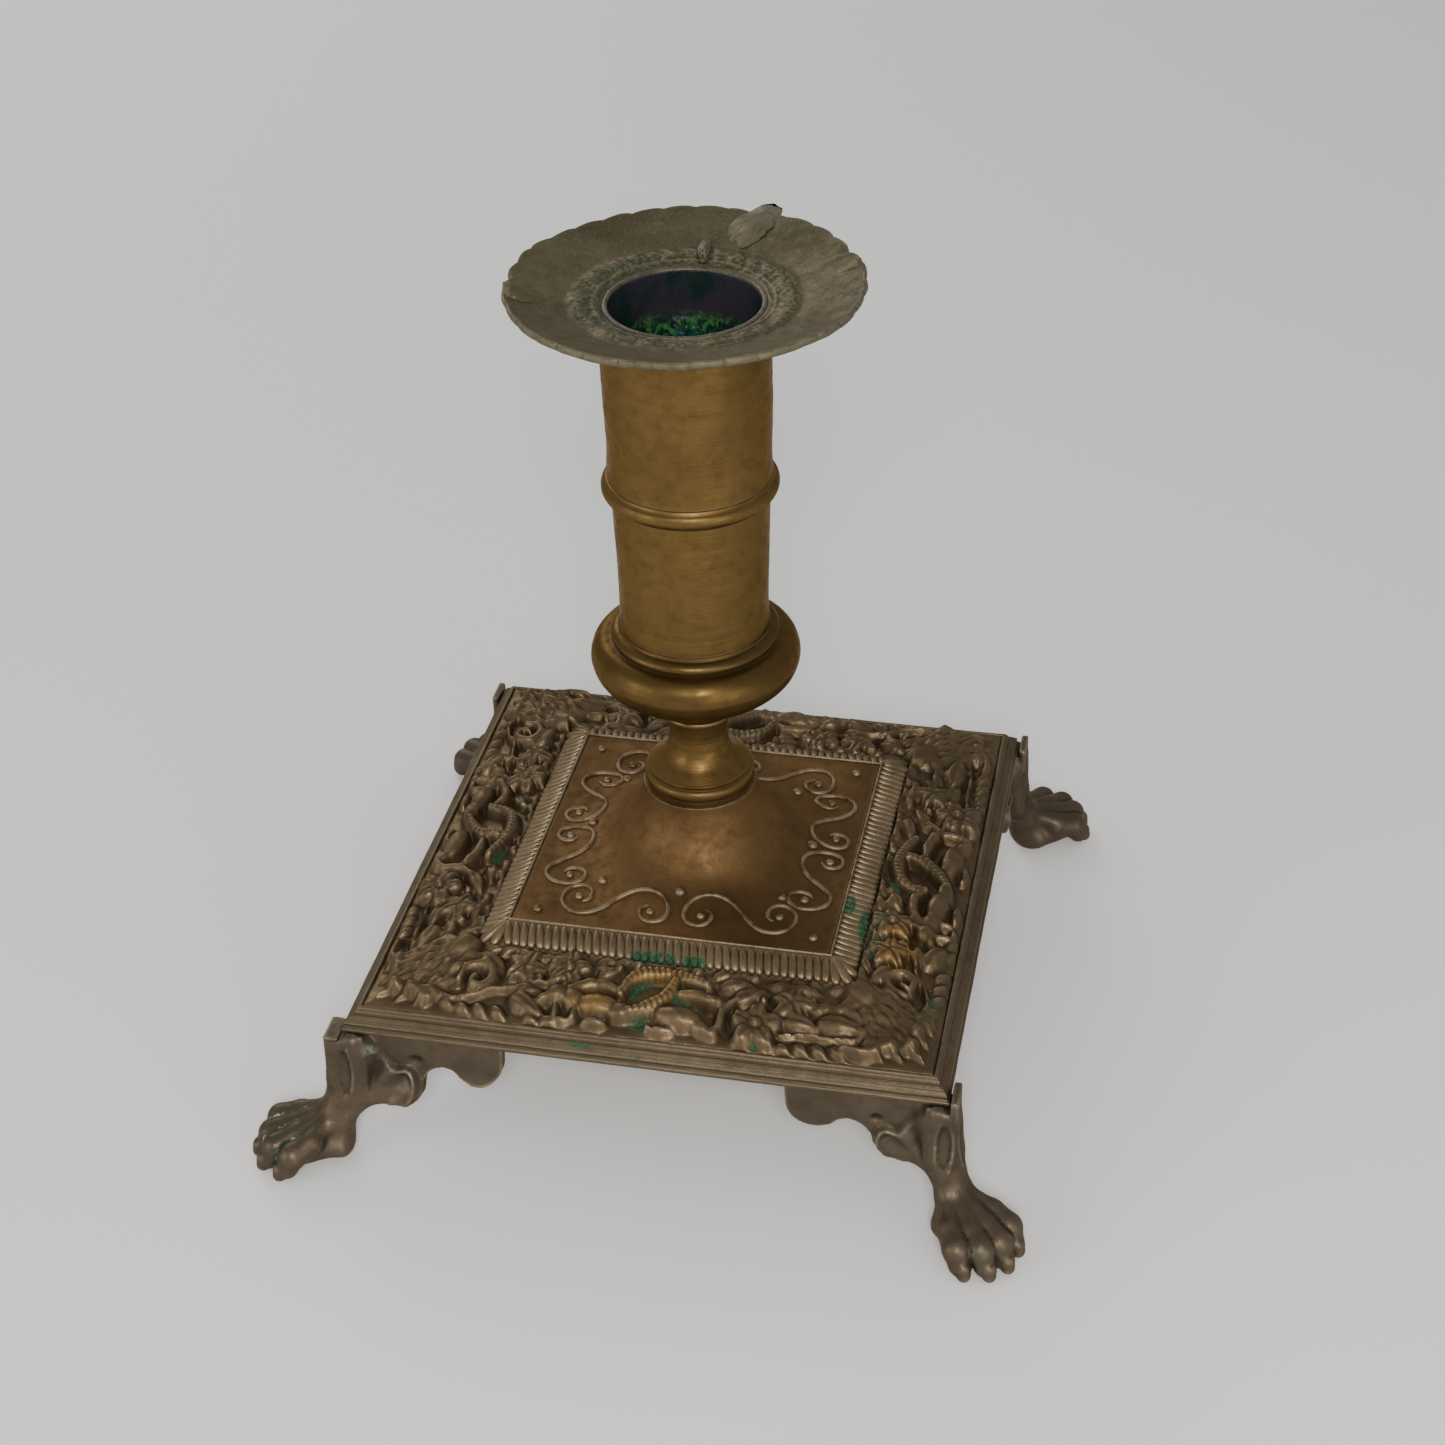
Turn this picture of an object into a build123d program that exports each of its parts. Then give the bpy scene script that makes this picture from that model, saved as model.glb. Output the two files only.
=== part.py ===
"""Brass candlestick: square footed base, domed panel, turned stem, candle tube and lift-off drip pan.

Millimetres, +Z up. The origin is on the floor, in the middle of the four paw feet.
"""
import os
from math import sqrt

from build123d import *

os.makedirs("parts", exist_ok=True)

# ---- driving dimensions -------------------------------------------------------------------
TRAY_Z = 27.0               # height of the tray's edge above the floor
BORDER_HALF = 45.0          # half the width of the square tray, to its upper edge
MOULDING_HALF = 47.8        # half the width over the edge moulding
MOULDING_DROP = 3.9         # depth of the edge moulding below the tray's edge
GADROON_OUTER = 30.3        # half widths of the gadrooned band
GADROON_INNER = 25.8
LEDGE_INNER = 22.5          # half width of the opening under the domed panel
PANEL_TOP = 4.8             # panel's flat face above the tray's edge
PANEL_THICK = 2.0
DOME_TOP = 17.8             # top of the bell above the tray's edge
DOME_TOP_R = 9.2

CANDLE_R = 11.2             # bore of the nozzle
NOZZLE_WALL = 0.47
NOZZLE_DEPTH = 21.0         # how far the nozzle hangs below the pan
FIT_GAP = 0.10              # running clearance of the nozzle in the tube
ASSEMBLY_GAP = 0.05         # clearance of spigots and threads inside the stem

PAN_R = 26.0
PAN_SEAT = 101.3            # underside of the pan above the tray's edge
PAN_THICK = 1.1
PAN_RISE = 4.0              # how much higher the rim's underside is than the seat

COLLAR_TOP = 74.6           # bead between the two tubes, above the tray's edge
COLLAR_BOTTOM = 71.2
COLLAR_R = 13.6
STEM_TUBE_BOTTOM = 48.3
STEM_TUBE_BORE = 10.4
KNOP_BOTTOM = 31.7
NECK_RING_R = 8.9

ROD_R = 2.5
ROD_HOLE_R = 2.7
ROD_TOP = 79.0
ROD_BOTTOM = 9.0
NUT_FLATS = 8.0
NUT_THICK = 3.2
WASHER_R = 6.5
WASHER_THICK = 1.2
DOME_CROWN = 2.4            # thickness of the bell's flat crown

FOOT_PLATE = 1.5            # thickness of the foot's top plate
FOOT_PLATE_INNER = 31.0     # the plate runs from here to the moulding's edge
WING_OUTER = 46.4           # outer face of the bracket's two wings
WING_THICK = 1.9
WING_END = 22.3             # where each wing ends, measured from the middle of the side
TAB_OUTER = 49.4            # corner tab that wraps the moulding
TAB_THICK = 1.4
TAB_LENGTH = 5.5
FOOT_SCREWS = ((35.5, 41.0), (41.0, 35.5))
SCREW_R = 1.45
SCREW_HEAD_R = 2.6
PANEL_SCREW_XY = 24.0
PANEL_SCREW_R = 0.95


def above(height):
    """Height above the floor of a height that is measured from the tray's edge."""
    return TRAY_Z + height


def save(piece, name):
    """Label a finished piece and write its STEP file."""
    piece.label = name
    export_step(piece, f"parts/{name}.step")


def mitred_frame(profile):
    """Square frame: the profile (distance from the middle, height) runs along four mitred sides."""
    reach = 2 * TAB_OUTER
    with BuildPart() as side:
        with BuildSketch(Plane.XZ):
            with BuildLine():
                Polyline(*profile, close=True)
            make_face()
        extrude(amount=reach, both=True)
        with BuildSketch(Plane.XY.offset(-reach)):
            with BuildLine():
                Polyline((0, 0), (reach, reach), (reach, -reach), close=True)
            make_face()
        extrude(amount=4 * reach, mode=Mode.INTERSECT)
    with BuildPart() as frame:
        for turn in range(4):
            add(side.part.rotate(Axis.Z, 90 * turn))
    return frame.part


def hexagon_nut(bottom):
    """Plain hexagon nut on the tie rod."""
    with BuildPart() as nut:
        with BuildSketch(Plane.XY.offset(bottom)):
            RegularPolygon(NUT_FLATS / 2, 6, major_radius=False)
            Circle(ROD_R + ASSEMBLY_GAP, mode=Mode.SUBTRACT)
        extrude(amount=NUT_THICK)
        chamfer(nut.edges().filter_by(GeomType.LINE).group_by(Axis.Z)[-1], 0.4)
    return nut.part


# ---- drip pan and its nozzle --------------------------------------------------------------
seat = above(PAN_SEAT)
nozzle_outer = CANDLE_R + NOZZLE_WALL
tube_bore = nozzle_outer + FIT_GAP
tube_wall_r = 12.7

with BuildPart() as drip_pan:
    with BuildSketch(Plane.XZ):
        with BuildLine():
            Line((nozzle_outer, seat), (tube_wall_r + 1, seat))
            ThreePointArc((tube_wall_r + 1, seat), (PAN_R - 4, seat + 1.9), (PAN_R, seat + PAN_RISE))
            Line((PAN_R, seat + PAN_RISE), (PAN_R, seat + PAN_RISE + PAN_THICK))
            ThreePointArc(
                (PAN_R, seat + PAN_RISE + PAN_THICK),
                (PAN_R - 4.4, seat + 1.9 + PAN_THICK),
                (tube_wall_r + 1, seat + PAN_THICK),
            )
            Line((tube_wall_r + 1, seat + PAN_THICK), (nozzle_outer, seat + PAN_THICK))
            Line((nozzle_outer, seat + PAN_THICK), (nozzle_outer, seat))
        make_face()
    revolve(axis=Axis.Z)
    fillet(drip_pan.edges().filter_by(GeomType.CIRCLE).sort_by(SortBy.RADIUS)[-2:], 0.4)
save(drip_pan.part, "drip_pan")

nozzle_top = seat + PAN_THICK
nozzle_lip = 0.6
with BuildPart() as pan_nozzle:
    with BuildSketch(Plane.XZ):
        with BuildLine():
            Polyline(
                (CANDLE_R, nozzle_top + nozzle_lip),
                (CANDLE_R, seat - NOZZLE_DEPTH),
                (nozzle_outer, seat - NOZZLE_DEPTH),
                (nozzle_outer, nozzle_top),
                (nozzle_outer + 1.2, nozzle_top),
                (nozzle_outer + 1.2, nozzle_top + nozzle_lip),
                close=True,
            )
        make_face()
    revolve(axis=Axis.Z)
save(pan_nozzle.part, "pan_nozzle")

# ---- candle tube, bead collar and stem tube -----------------------------------------------
with BuildPart() as candle_tube:
    with BuildSketch(Plane.XZ):
        with BuildLine():
            Spline(
                (12.6, above(COLLAR_TOP)),
                (12.46, above(78.4)),
                (12.6, above(84.0)),
                (tube_wall_r, above(92.0)),
                (tube_wall_r, seat),
            )
            Line((tube_wall_r, seat), (tube_bore, seat))
            Line((tube_bore, seat), (tube_bore, above(COLLAR_TOP)))
            Line((tube_bore, above(COLLAR_TOP)), (12.6, above(COLLAR_TOP)))
        make_face()
    revolve(axis=Axis.Z)
save(candle_tube.part, "candle_tube")

stem_bore = STEM_TUBE_BORE + 0.6    # the stem tube is bored wider at its top for the collar
spigot = 3.6
web = 1.0                           # how far the collar's floor stands up into the candle tube
lower_spigot_r = stem_bore - ASSEMBLY_GAP
upper_spigot_r = tube_bore - ASSEMBLY_GAP
with BuildPart() as joint_collar:
    with BuildSketch(Plane.XZ):
        with BuildLine():
            Polyline(
                (ROD_HOLE_R, above(COLLAR_TOP + web)),
                (ROD_HOLE_R, above(COLLAR_BOTTOM - spigot)),
                (lower_spigot_r, above(COLLAR_BOTTOM - spigot)),
                (lower_spigot_r, above(COLLAR_BOTTOM)),
                (12.5, above(COLLAR_BOTTOM)),
            )
            ThreePointArc(
                (12.5, above(COLLAR_BOTTOM)),
                (COLLAR_R, above((COLLAR_BOTTOM + COLLAR_TOP) / 2)),
                (12.7, above(COLLAR_TOP)),
            )
            Polyline(
                (12.7, above(COLLAR_TOP)),
                (upper_spigot_r, above(COLLAR_TOP)),
                (upper_spigot_r, above(COLLAR_TOP + web)),
                (ROD_HOLE_R, above(COLLAR_TOP + web)),
            )
        make_face()
    revolve(axis=Axis.Z)
save(joint_collar.part, "joint_collar")

with BuildPart() as stem_tube:
    with BuildSketch(Plane.XZ):
        with BuildLine():
            Spline(
                (11.7, above(STEM_TUBE_BOTTOM)),
                (11.65, above(52.0)),
                (11.85, above(62.0)),
                (12.15, above(COLLAR_BOTTOM)),
            )
            Polyline(
                (12.15, above(COLLAR_BOTTOM)),
                (stem_bore, above(COLLAR_BOTTOM)),
                (stem_bore, above(COLLAR_BOTTOM - spigot - 0.4)),
                (STEM_TUBE_BORE, above(COLLAR_BOTTOM - spigot - 0.4)),
                (STEM_TUBE_BORE, above(STEM_TUBE_BOTTOM)),
                (11.7, above(STEM_TUBE_BOTTOM)),
            )
        make_face()
    revolve(axis=Axis.Z)
save(stem_tube.part, "stem_tube")

# ---- knop and neck ------------------------------------------------------------------------
knop_spigot_r = STEM_TUBE_BORE - ASSEMBLY_GAP
knop_spigot_top = STEM_TUBE_BOTTOM + 3.2
with BuildPart() as knop:
    with BuildSketch(Plane.XZ):
        with BuildLine():
            Polyline(
                (ROD_HOLE_R, above(KNOP_BOTTOM)),
                (ROD_HOLE_R, above(knop_spigot_top)),
                (knop_spigot_r, above(knop_spigot_top)),
                (knop_spigot_r, above(STEM_TUBE_BOTTOM)),
                (11.9, above(STEM_TUBE_BOTTOM)),
            )
            ThreePointArc(
                (11.9, above(STEM_TUBE_BOTTOM)), (12.75, above(47.5)), (13.15, above(46.3))
            )
            Spline(
                (13.15, above(46.3)),
                (15.2, above(45.4)),
                (16.5, above(42.5)),
                (15.6, above(39.5)),
                (11.8, above(36.5)),
                (5.9, above(32.2)),
            )
            Polyline((5.9, above(32.2)), (5.6, above(KNOP_BOTTOM)), (ROD_HOLE_R, above(KNOP_BOTTOM)))
        make_face()
    revolve(axis=Axis.Z)
save(knop.part, "knop")

with BuildPart() as neck:
    with BuildSketch(Plane.XZ):
        with BuildLine():
            Polyline(
                (5.6, above(31.1)),
                (5.6, above(KNOP_BOTTOM)),
                (ROD_HOLE_R, above(KNOP_BOTTOM)),
                (ROD_HOLE_R, above(DOME_TOP)),
                (8.5, above(DOME_TOP)),
                (8.5, above(18.7)),
            )
            ThreePointArc((8.5, above(18.7)), (NECK_RING_R, above(19.6)), (8.5, above(20.6)))
            Line((8.5, above(20.6)), (8.3, above(21.0)))
            Spline(
                (8.3, above(21.0)),
                (6.8, above(22.3)),
                (5.0, above(25.0)),
                (4.7, above(27.5)),
                (5.0, above(31.0)),
            )
            Line((5.0, above(31.0)), (5.6, above(31.1)))
        make_face()
    revolve(axis=Axis.Z)
save(neck.part, "neck")

# ---- tie rod, nuts and washer -------------------------------------------------------------
with BuildPart() as tie_rod:
    with BuildSketch(Plane.XY.offset(above(ROD_BOTTOM))):
        Circle(ROD_R)
    extrude(amount=ROD_TOP - ROD_BOTTOM)
    chamfer(tie_rod.edges().filter_by(GeomType.CIRCLE), 0.4)
save(tie_rod.part, "tie_rod")

save(hexagon_nut(above(COLLAR_TOP + web)), "top_nut")

washer_top = DOME_TOP - DOME_CROWN
with BuildPart() as base_washer:
    with BuildSketch(Plane.XY.offset(above(washer_top - WASHER_THICK))):
        Circle(WASHER_R)
        Circle(ROD_HOLE_R, mode=Mode.SUBTRACT)
    extrude(amount=WASHER_THICK)
save(base_washer.part, "base_washer")

save(hexagon_nut(above(washer_top - WASHER_THICK - NUT_THICK)), "base_nut")

# ---- domed panel --------------------------------------------------------------------------
bell_foot_r = 24.0
bell_wall = 1.8
panel_half = GADROON_INNER - ASSEMBLY_GAP
with BuildPart() as dome_panel:
    with BuildSketch(Plane.XY.offset(above(PANEL_TOP - PANEL_THICK))):
        Rectangle(2 * panel_half, 2 * panel_half)
    extrude(amount=PANEL_THICK)
    with BuildSketch(Plane.XZ):
        with BuildLine():
            Polyline((0, above(PANEL_TOP - PANEL_THICK)), (0, above(DOME_TOP)), (DOME_TOP_R, above(DOME_TOP)))
            Spline(
                (DOME_TOP_R, above(DOME_TOP)),
                (10.0, above(14.5)),
                (12.0, above(10.5)),
                (15.0, above(7.3)),
                (19.0, above(5.5)),
                (bell_foot_r, above(PANEL_TOP)),
            )
            Polyline(
                (bell_foot_r, above(PANEL_TOP)),
                (bell_foot_r, above(PANEL_TOP - PANEL_THICK)),
                (0, above(PANEL_TOP - PANEL_THICK)),
            )
        make_face()
    revolve(axis=Axis.Z)
    crown = above(DOME_TOP - DOME_CROWN)
    with BuildSketch(Plane.XZ):
        with BuildLine():
            Polyline((0, above(PANEL_TOP - PANEL_THICK)), (0, crown), (DOME_TOP_R - bell_wall, crown))
            Spline(
                (DOME_TOP_R - bell_wall, crown),
                (10.4 - bell_wall, above(10.9)),
                (13.6 - bell_wall, above(6.4)),
                (19.0 - bell_wall, above(PANEL_TOP - PANEL_THICK)),
            )
            Line((19.0 - bell_wall, above(PANEL_TOP - PANEL_THICK)), (0, above(PANEL_TOP - PANEL_THICK)))
        make_face()
    revolve(axis=Axis.Z, mode=Mode.SUBTRACT)
    with BuildSketch(Plane.XY.offset(above(0))):
        Circle(ROD_HOLE_R)
    extrude(amount=DOME_TOP, mode=Mode.SUBTRACT)
    with BuildSketch(Plane.XY.offset(above(PANEL_TOP - PANEL_THICK))):
        with GridLocations(2 * PANEL_SCREW_XY, 2 * PANEL_SCREW_XY, 2, 2):
            Circle(PANEL_SCREW_R + ASSEMBLY_GAP)
    extrude(amount=PANEL_THICK * 0.7, mode=Mode.SUBTRACT)
save(dome_panel.part, "dome_panel")

# ---- gadrooned band and bordered tray -----------------------------------------------------
ledge_top = 0.8
gadroon_blank = mitred_frame(
    [
        (LEDGE_INNER, above(ledge_top)),
        (GADROON_OUTER, above(ledge_top)),
        (GADROON_OUTER, above(3.0)),
        (GADROON_INNER + 1.2, above(5.2)),
        (GADROON_INNER, above(5.3)),
        (GADROON_INNER, above(PANEL_TOP - PANEL_THICK)),
        (LEDGE_INNER, above(PANEL_TOP - PANEL_THICK)),
    ]
)
with BuildPart() as gadroon_frame:
    add(gadroon_blank)
    with BuildSketch(Plane.XY.offset(above(0))):
        with GridLocations(2 * PANEL_SCREW_XY, 2 * PANEL_SCREW_XY, 2, 2):
            Circle(PANEL_SCREW_R + ASSEMBLY_GAP)
    extrude(amount=PANEL_TOP, mode=Mode.SUBTRACT)
save(gadroon_frame.part, "gadroon_frame")

slab_bottom = -1.2
skirt_inner = BORDER_HALF - 0.6
tray_blank = mitred_frame(
    [
        (LEDGE_INNER, above(slab_bottom)),
        (skirt_inner, above(slab_bottom)),
        (skirt_inner, above(-MOULDING_DROP)),
        (MOULDING_HALF - 0.5, above(-MOULDING_DROP)),
        (MOULDING_HALF, above(-3.4)),
        (MOULDING_HALF, above(-2.6)),
        (MOULDING_HALF - 0.6, above(-2.2)),
        (BORDER_HALF + 1.3, above(-1.6)),
        (BORDER_HALF + 0.8, above(-0.8)),
        (BORDER_HALF + 0.4, above(-0.6)),
        (BORDER_HALF + 0.4, above(0)),
        (BORDER_HALF - 0.6, above(0)),
        (BORDER_HALF - 1.6, above(1.2)),
        (GADROON_OUTER + 1.0, above(4.2)),
        (GADROON_OUTER + ASSEMBLY_GAP, above(3.2)),
        (GADROON_OUTER + ASSEMBLY_GAP, above(ledge_top)),
        (LEDGE_INNER, above(ledge_top)),
    ]
)
with BuildPart() as base_frame:
    add(tray_blank)
    with BuildSketch(Plane.XY.offset(above(-MOULDING_DROP))):
        for turn in range(4):
            with Locations(Location((0, 0, 0), (0, 0, 90 * turn))):
                with Locations(*FOOT_SCREWS):
                    Circle(3.0)
    extrude(amount=MOULDING_DROP + slab_bottom)
    with BuildSketch(Plane.XY.offset(above(-MOULDING_DROP))):
        for turn in range(4):
            with Locations(Location((0, 0, 0), (0, 0, 90 * turn))):
                with Locations(*FOOT_SCREWS):
                    Circle(SCREW_R + ASSEMBLY_GAP)
    extrude(amount=4.4, mode=Mode.SUBTRACT)
    with BuildSketch(Plane.XY.offset(above(slab_bottom))):
        with GridLocations(2 * PANEL_SCREW_XY, 2 * PANEL_SCREW_XY, 2, 2):
            Circle(PANEL_SCREW_R + ASSEMBLY_GAP)
    extrude(amount=ledge_top - slab_bottom, mode=Mode.SUBTRACT)
save(base_frame.part, "base_frame")

# ---- panel screws, up through the ledge ---------------------------------------------------
with BuildPart() as panel_screws:
    with BuildSketch(Plane.XY.offset(above(slab_bottom))):
        with GridLocations(2 * PANEL_SCREW_XY, 2 * PANEL_SCREW_XY, 2, 2):
            Circle(PANEL_SCREW_R)
    extrude(amount=PANEL_TOP - slab_bottom - 0.8)
    with BuildSketch(Plane.XY.offset(above(slab_bottom))):
        with GridLocations(2 * PANEL_SCREW_XY, 2 * PANEL_SCREW_XY, 2, 2):
            Circle(2 * PANEL_SCREW_R)
    extrude(amount=-1.1)
    with BuildSketch(Plane.XY.offset(above(slab_bottom - 1.1))):
        with GridLocations(2 * PANEL_SCREW_XY, 2 * PANEL_SCREW_XY, 2, 2):
            Rectangle(4 * PANEL_SCREW_R, 0.5)
    extrude(amount=0.5, mode=Mode.SUBTRACT)
save(panel_screws.part, "panel_screws")

# ---- paw feet with their corner brackets --------------------------------------------------
plate_top = -MOULDING_DROP
plate_bottom = plate_top - FOOT_PLATE
diagonal = 1 / sqrt(2)
leg_sections = ((45.3, 8.6, plate_top), (45.9, 8.8, -12.0), (47.6, 6.8, -17.5), (49.4, 6.6, -21.5))
paw_sections = ((67.0, 7.0, 8.0), (71.5, 12.0, 9.8), (78.0, 14.6, 8.8), (84.0, 10.6, 4.6))
toe_gaps = (-3.3, 0, 3.3)
sole_trim = 0.6             # the paw is lofted this much too deep, then cut flat on the floor
toe_tip = paw_sections[-1][0] + 0.6


def wing_outline():
    """Bracket wing seen from its face: two hanging lobes, then the arch of the leg."""
    with BuildLine() as outline:
        Line((WING_OUTER, above(plate_top)), (WING_END, above(plate_top)))
        Line((WING_END, above(plate_top)), (WING_END, above(-6.5)))
        ThreePointArc((WING_END, above(-6.5)), (26.4, above(-12.3)), (30.4, above(-10.3)))
        ThreePointArc((30.4, above(-10.3)), (32.4, above(-9.8)), (34.6, above(-10.9)))
        ThreePointArc((34.6, above(-10.9)), (35.9, above(-14.6)), (38.2, above(-16.9)))
        ThreePointArc((38.2, above(-16.9)), (42.6, above(-19.3)), (45.4, above(-23.0)))
        Line((45.4, above(-23.0)), (WING_OUTER, above(-23.0)))
        Line((WING_OUTER, above(-23.0)), (WING_OUTER, above(plate_top)))
    return outline.line


wing = wing_outline()
with BuildPart() as foot:
    # top plate under the tray's corner
    with BuildSketch(Plane.XY.offset(above(plate_bottom))):
        with BuildLine():
            Polyline(
                (WING_OUTER, WING_OUTER),
                (WING_OUTER, FOOT_PLATE_INNER),
                (FOOT_PLATE_INNER + 7, FOOT_PLATE_INNER),
                (FOOT_PLATE_INNER, FOOT_PLATE_INNER + 7),
                (FOOT_PLATE_INNER, WING_OUTER),
                close=True,
            )
        make_face()
    extrude(amount=FOOT_PLATE)
    # the two wings, on the faces of the corner
    with BuildSketch(Plane(origin=(0, WING_OUTER, 0), x_dir=(1, 0, 0), z_dir=(0, -1, 0))):
        add(wing)
        make_face()
    extrude(amount=WING_THICK)
    with BuildSketch(Plane(origin=(WING_OUTER, 0, 0), x_dir=(0, 1, 0), z_dir=(1, 0, 0))):
        add(wing)
        make_face()
    extrude(amount=-WING_THICK)
    # knee and leg, from the corner down to the ankle
    for middle, width, height in leg_sections:
        with BuildSketch(Plane.XY.offset(above(height))):
            with Locations((middle, middle)):
                RectangleRounded(width, width, 1.2)
    loft(ruled=True)
    # paw, lofted outwards along the diagonal and flat on the floor
    for reach, width, height in paw_sections:
        paw_plane = Plane(
            origin=(reach * diagonal, reach * diagonal, (height - sole_trim) / 2),
            x_dir=(-diagonal, diagonal, 0),
            z_dir=(diagonal, diagonal, 0),
        )
        with BuildSketch(paw_plane):
            RectangleRounded(width, height + sole_trim, height * 0.3)
    loft(ruled=True)
    with BuildSketch():
        Rectangle(4 * MOULDING_HALF, 4 * MOULDING_HALF)
    extrude(amount=-2 * sole_trim, mode=Mode.SUBTRACT)
    # slots that part the four toes
    toe_plane = Plane(
        origin=(toe_tip * diagonal, toe_tip * diagonal, 0),
        x_dir=(-diagonal, diagonal, 0),
        z_dir=(diagonal, diagonal, 0),
    )
    with BuildSketch(toe_plane):
        with Locations(*[(across, 5.2) for across in toe_gaps]):
            Rectangle(0.8, 7.0)
    extrude(amount=-7.0, mode=Mode.SUBTRACT)
    # tab that wraps the moulding's corner, standing on the knee
    with BuildSketch(Plane.XY.offset(above(plate_top - 2.0))):
        with BuildLine():
            Polyline(
                (TAB_OUTER, TAB_OUTER),
                (TAB_OUTER, TAB_OUTER - TAB_LENGTH),
                (TAB_OUTER - TAB_THICK, TAB_OUTER - TAB_LENGTH),
                (TAB_OUTER - TAB_THICK, TAB_OUTER - TAB_THICK),
                (TAB_OUTER - TAB_LENGTH, TAB_OUTER - TAB_THICK),
                (TAB_OUTER - TAB_LENGTH, TAB_OUTER),
                close=True,
            )
        make_face()
    extrude(amount=MOULDING_DROP + 2.0)
    with BuildSketch(Plane.XY.offset(above(plate_bottom))):
        with Locations(*FOOT_SCREWS):
            Circle(SCREW_R + 0.25)
    extrude(amount=FOOT_PLATE, mode=Mode.SUBTRACT)

foot_names = ("foot_back_right", "foot_back_left", "foot_front_left", "foot_front_right")
for turn, foot_name in enumerate(foot_names):
    save(foot.part.rotate(Axis.Z, 90 * turn), foot_name)

with BuildPart() as foot_screw_pair:
    with BuildSketch(Plane.XY.offset(above(plate_bottom))):
        with Locations(*FOOT_SCREWS):
            Circle(SCREW_R)
    extrude(amount=5.0)
    with BuildSketch(Plane.XY.offset(above(plate_bottom))):
        with Locations(*FOOT_SCREWS):
            Circle(SCREW_HEAD_R)
    extrude(amount=-1.3)
    with BuildSketch(Plane.XY.offset(above(plate_bottom - 1.3))):
        with Locations(*FOOT_SCREWS):
            Rectangle(3 * SCREW_HEAD_R, 0.7)
    extrude(amount=0.6, mode=Mode.SUBTRACT)
with BuildPart() as foot_screws:
    for turn in range(4):
        add(foot_screw_pair.part.rotate(Axis.Z, 90 * turn))
save(foot_screws.part, "foot_screws")
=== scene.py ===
"""Looks of the footed brass candlestick, built round its packed CAD frame."""
import math

import bmesh
import bpy
import numpy as np
from bpy.props import FloatProperty, FloatVectorProperty, IntProperty, PointerProperty
from mathutils import Matrix, Vector


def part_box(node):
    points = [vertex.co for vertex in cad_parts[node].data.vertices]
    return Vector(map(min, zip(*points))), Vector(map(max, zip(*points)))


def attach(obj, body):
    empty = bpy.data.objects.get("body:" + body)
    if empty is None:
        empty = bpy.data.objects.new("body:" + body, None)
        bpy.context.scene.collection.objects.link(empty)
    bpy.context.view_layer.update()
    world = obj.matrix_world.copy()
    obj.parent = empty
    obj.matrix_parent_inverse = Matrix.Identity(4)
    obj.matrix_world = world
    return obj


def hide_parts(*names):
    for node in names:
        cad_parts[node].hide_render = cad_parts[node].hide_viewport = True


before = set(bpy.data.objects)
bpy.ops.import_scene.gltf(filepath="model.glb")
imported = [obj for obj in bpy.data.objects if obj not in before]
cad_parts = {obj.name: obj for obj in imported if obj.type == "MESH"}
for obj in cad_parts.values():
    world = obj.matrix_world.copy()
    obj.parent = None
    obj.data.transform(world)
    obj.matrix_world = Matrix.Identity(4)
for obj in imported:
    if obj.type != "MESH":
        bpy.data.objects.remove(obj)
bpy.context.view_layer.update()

bl_info = {
    "name": "Footed Brass Candlestick",
    "version": (1, 0, 0),
    "blender": (4, 5, 0),
    "location": "3D View > Sidebar > Candlestick",
    "description": "Builds the cast and turned pieces of a footed brass candlestick round its CAD frame",
    "category": "Object",
}

MM = 0.001
STAND, PAN = "stand", "pan"


def cad_mm(node):
    """Lowest and highest corner of a CAD node, in millimetres."""
    low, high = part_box(node)
    return np.array(low) / MM, np.array(high) / MM


TRAY_Z = cad_mm("foot_front_left")[1][2]        # height of the tray's edge above the floor
PANEL_HALF = cad_mm("dome_panel")[1][0]
GADROON_HALF = cad_mm("gadroon_frame")[1][0]
MOULDING_HALF = cad_mm("base_frame")[1][0]
ROD_HOLE = 2.7                                  # radius of the hole for the rod
PANEL_TOP = 4.8                                 # the panel's flat face above the tray's edge
LEDGE = 22.5                                    # half width of the opening under the panel
BORE, SLEEVE = 11.2, 11.67                      # inner and outer radius of the nozzle


# ---- sizes and finishes that a user would change --------------------------------------------

def length(name, description, default, lowest=0.0):
    """Length that the user may change, in metres."""
    return FloatProperty(name=name, description=description, default=default, unit="LENGTH", min=lowest)


def colour(name, description, default):
    """Colour that the user may change."""
    return FloatVectorProperty(name=name, description=description, default=default, subtype="COLOR")


class StemSizes(bpy.types.PropertyGroup):
    """Turned pieces of the stem."""
    segments: IntProperty(name="Segments", description="Sides of each turned piece", default=224, min=48)
    dent: length("Unevenness", "How far the old tubes are out of round", 0.00009)
    ring: length("Turning lines", "Depth of the lathe's rings", 0.000025)


class PanSizes(bpy.types.PropertyGroup):
    """Drip pan and nozzle."""
    scallops: IntProperty(name="Scallops", description="Waves round the hammered rim", default=33, min=3)
    scallop: length("Scallop depth", "Depth of each wave of the rim", 0.00034)
    warp: length("Warp", "How far the thin pan is bent up and down", 0.00045)


class PanelSizes(bpy.types.PropertyGroup):
    """Domed panel with its scrolls."""
    cord: length("Cord radius", "Radius of the raised scroll cords", 0.0004)
    boss: length("Boss radius", "Radius of the raised bosses", 0.00085)


class GadroonSizes(bpy.types.PropertyGroup):
    """Gadrooned band."""
    lobes: IntProperty(name="Lobes", description="Lobes along each side", default=40, min=4)
    slant: FloatProperty(name="Slant", description="How far the lobes lean along the side",
                         default=math.radians(12), subtype="ANGLE")
    rise: length("Rise", "Height of each lobe above its bed", 0.00085)


class FootSizes(bpy.types.PropertyGroup):
    """Paw feet."""
    voxel: length("Voxel", "Grid step of the sculpted feet", 0.00028, 0.0001)


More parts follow.
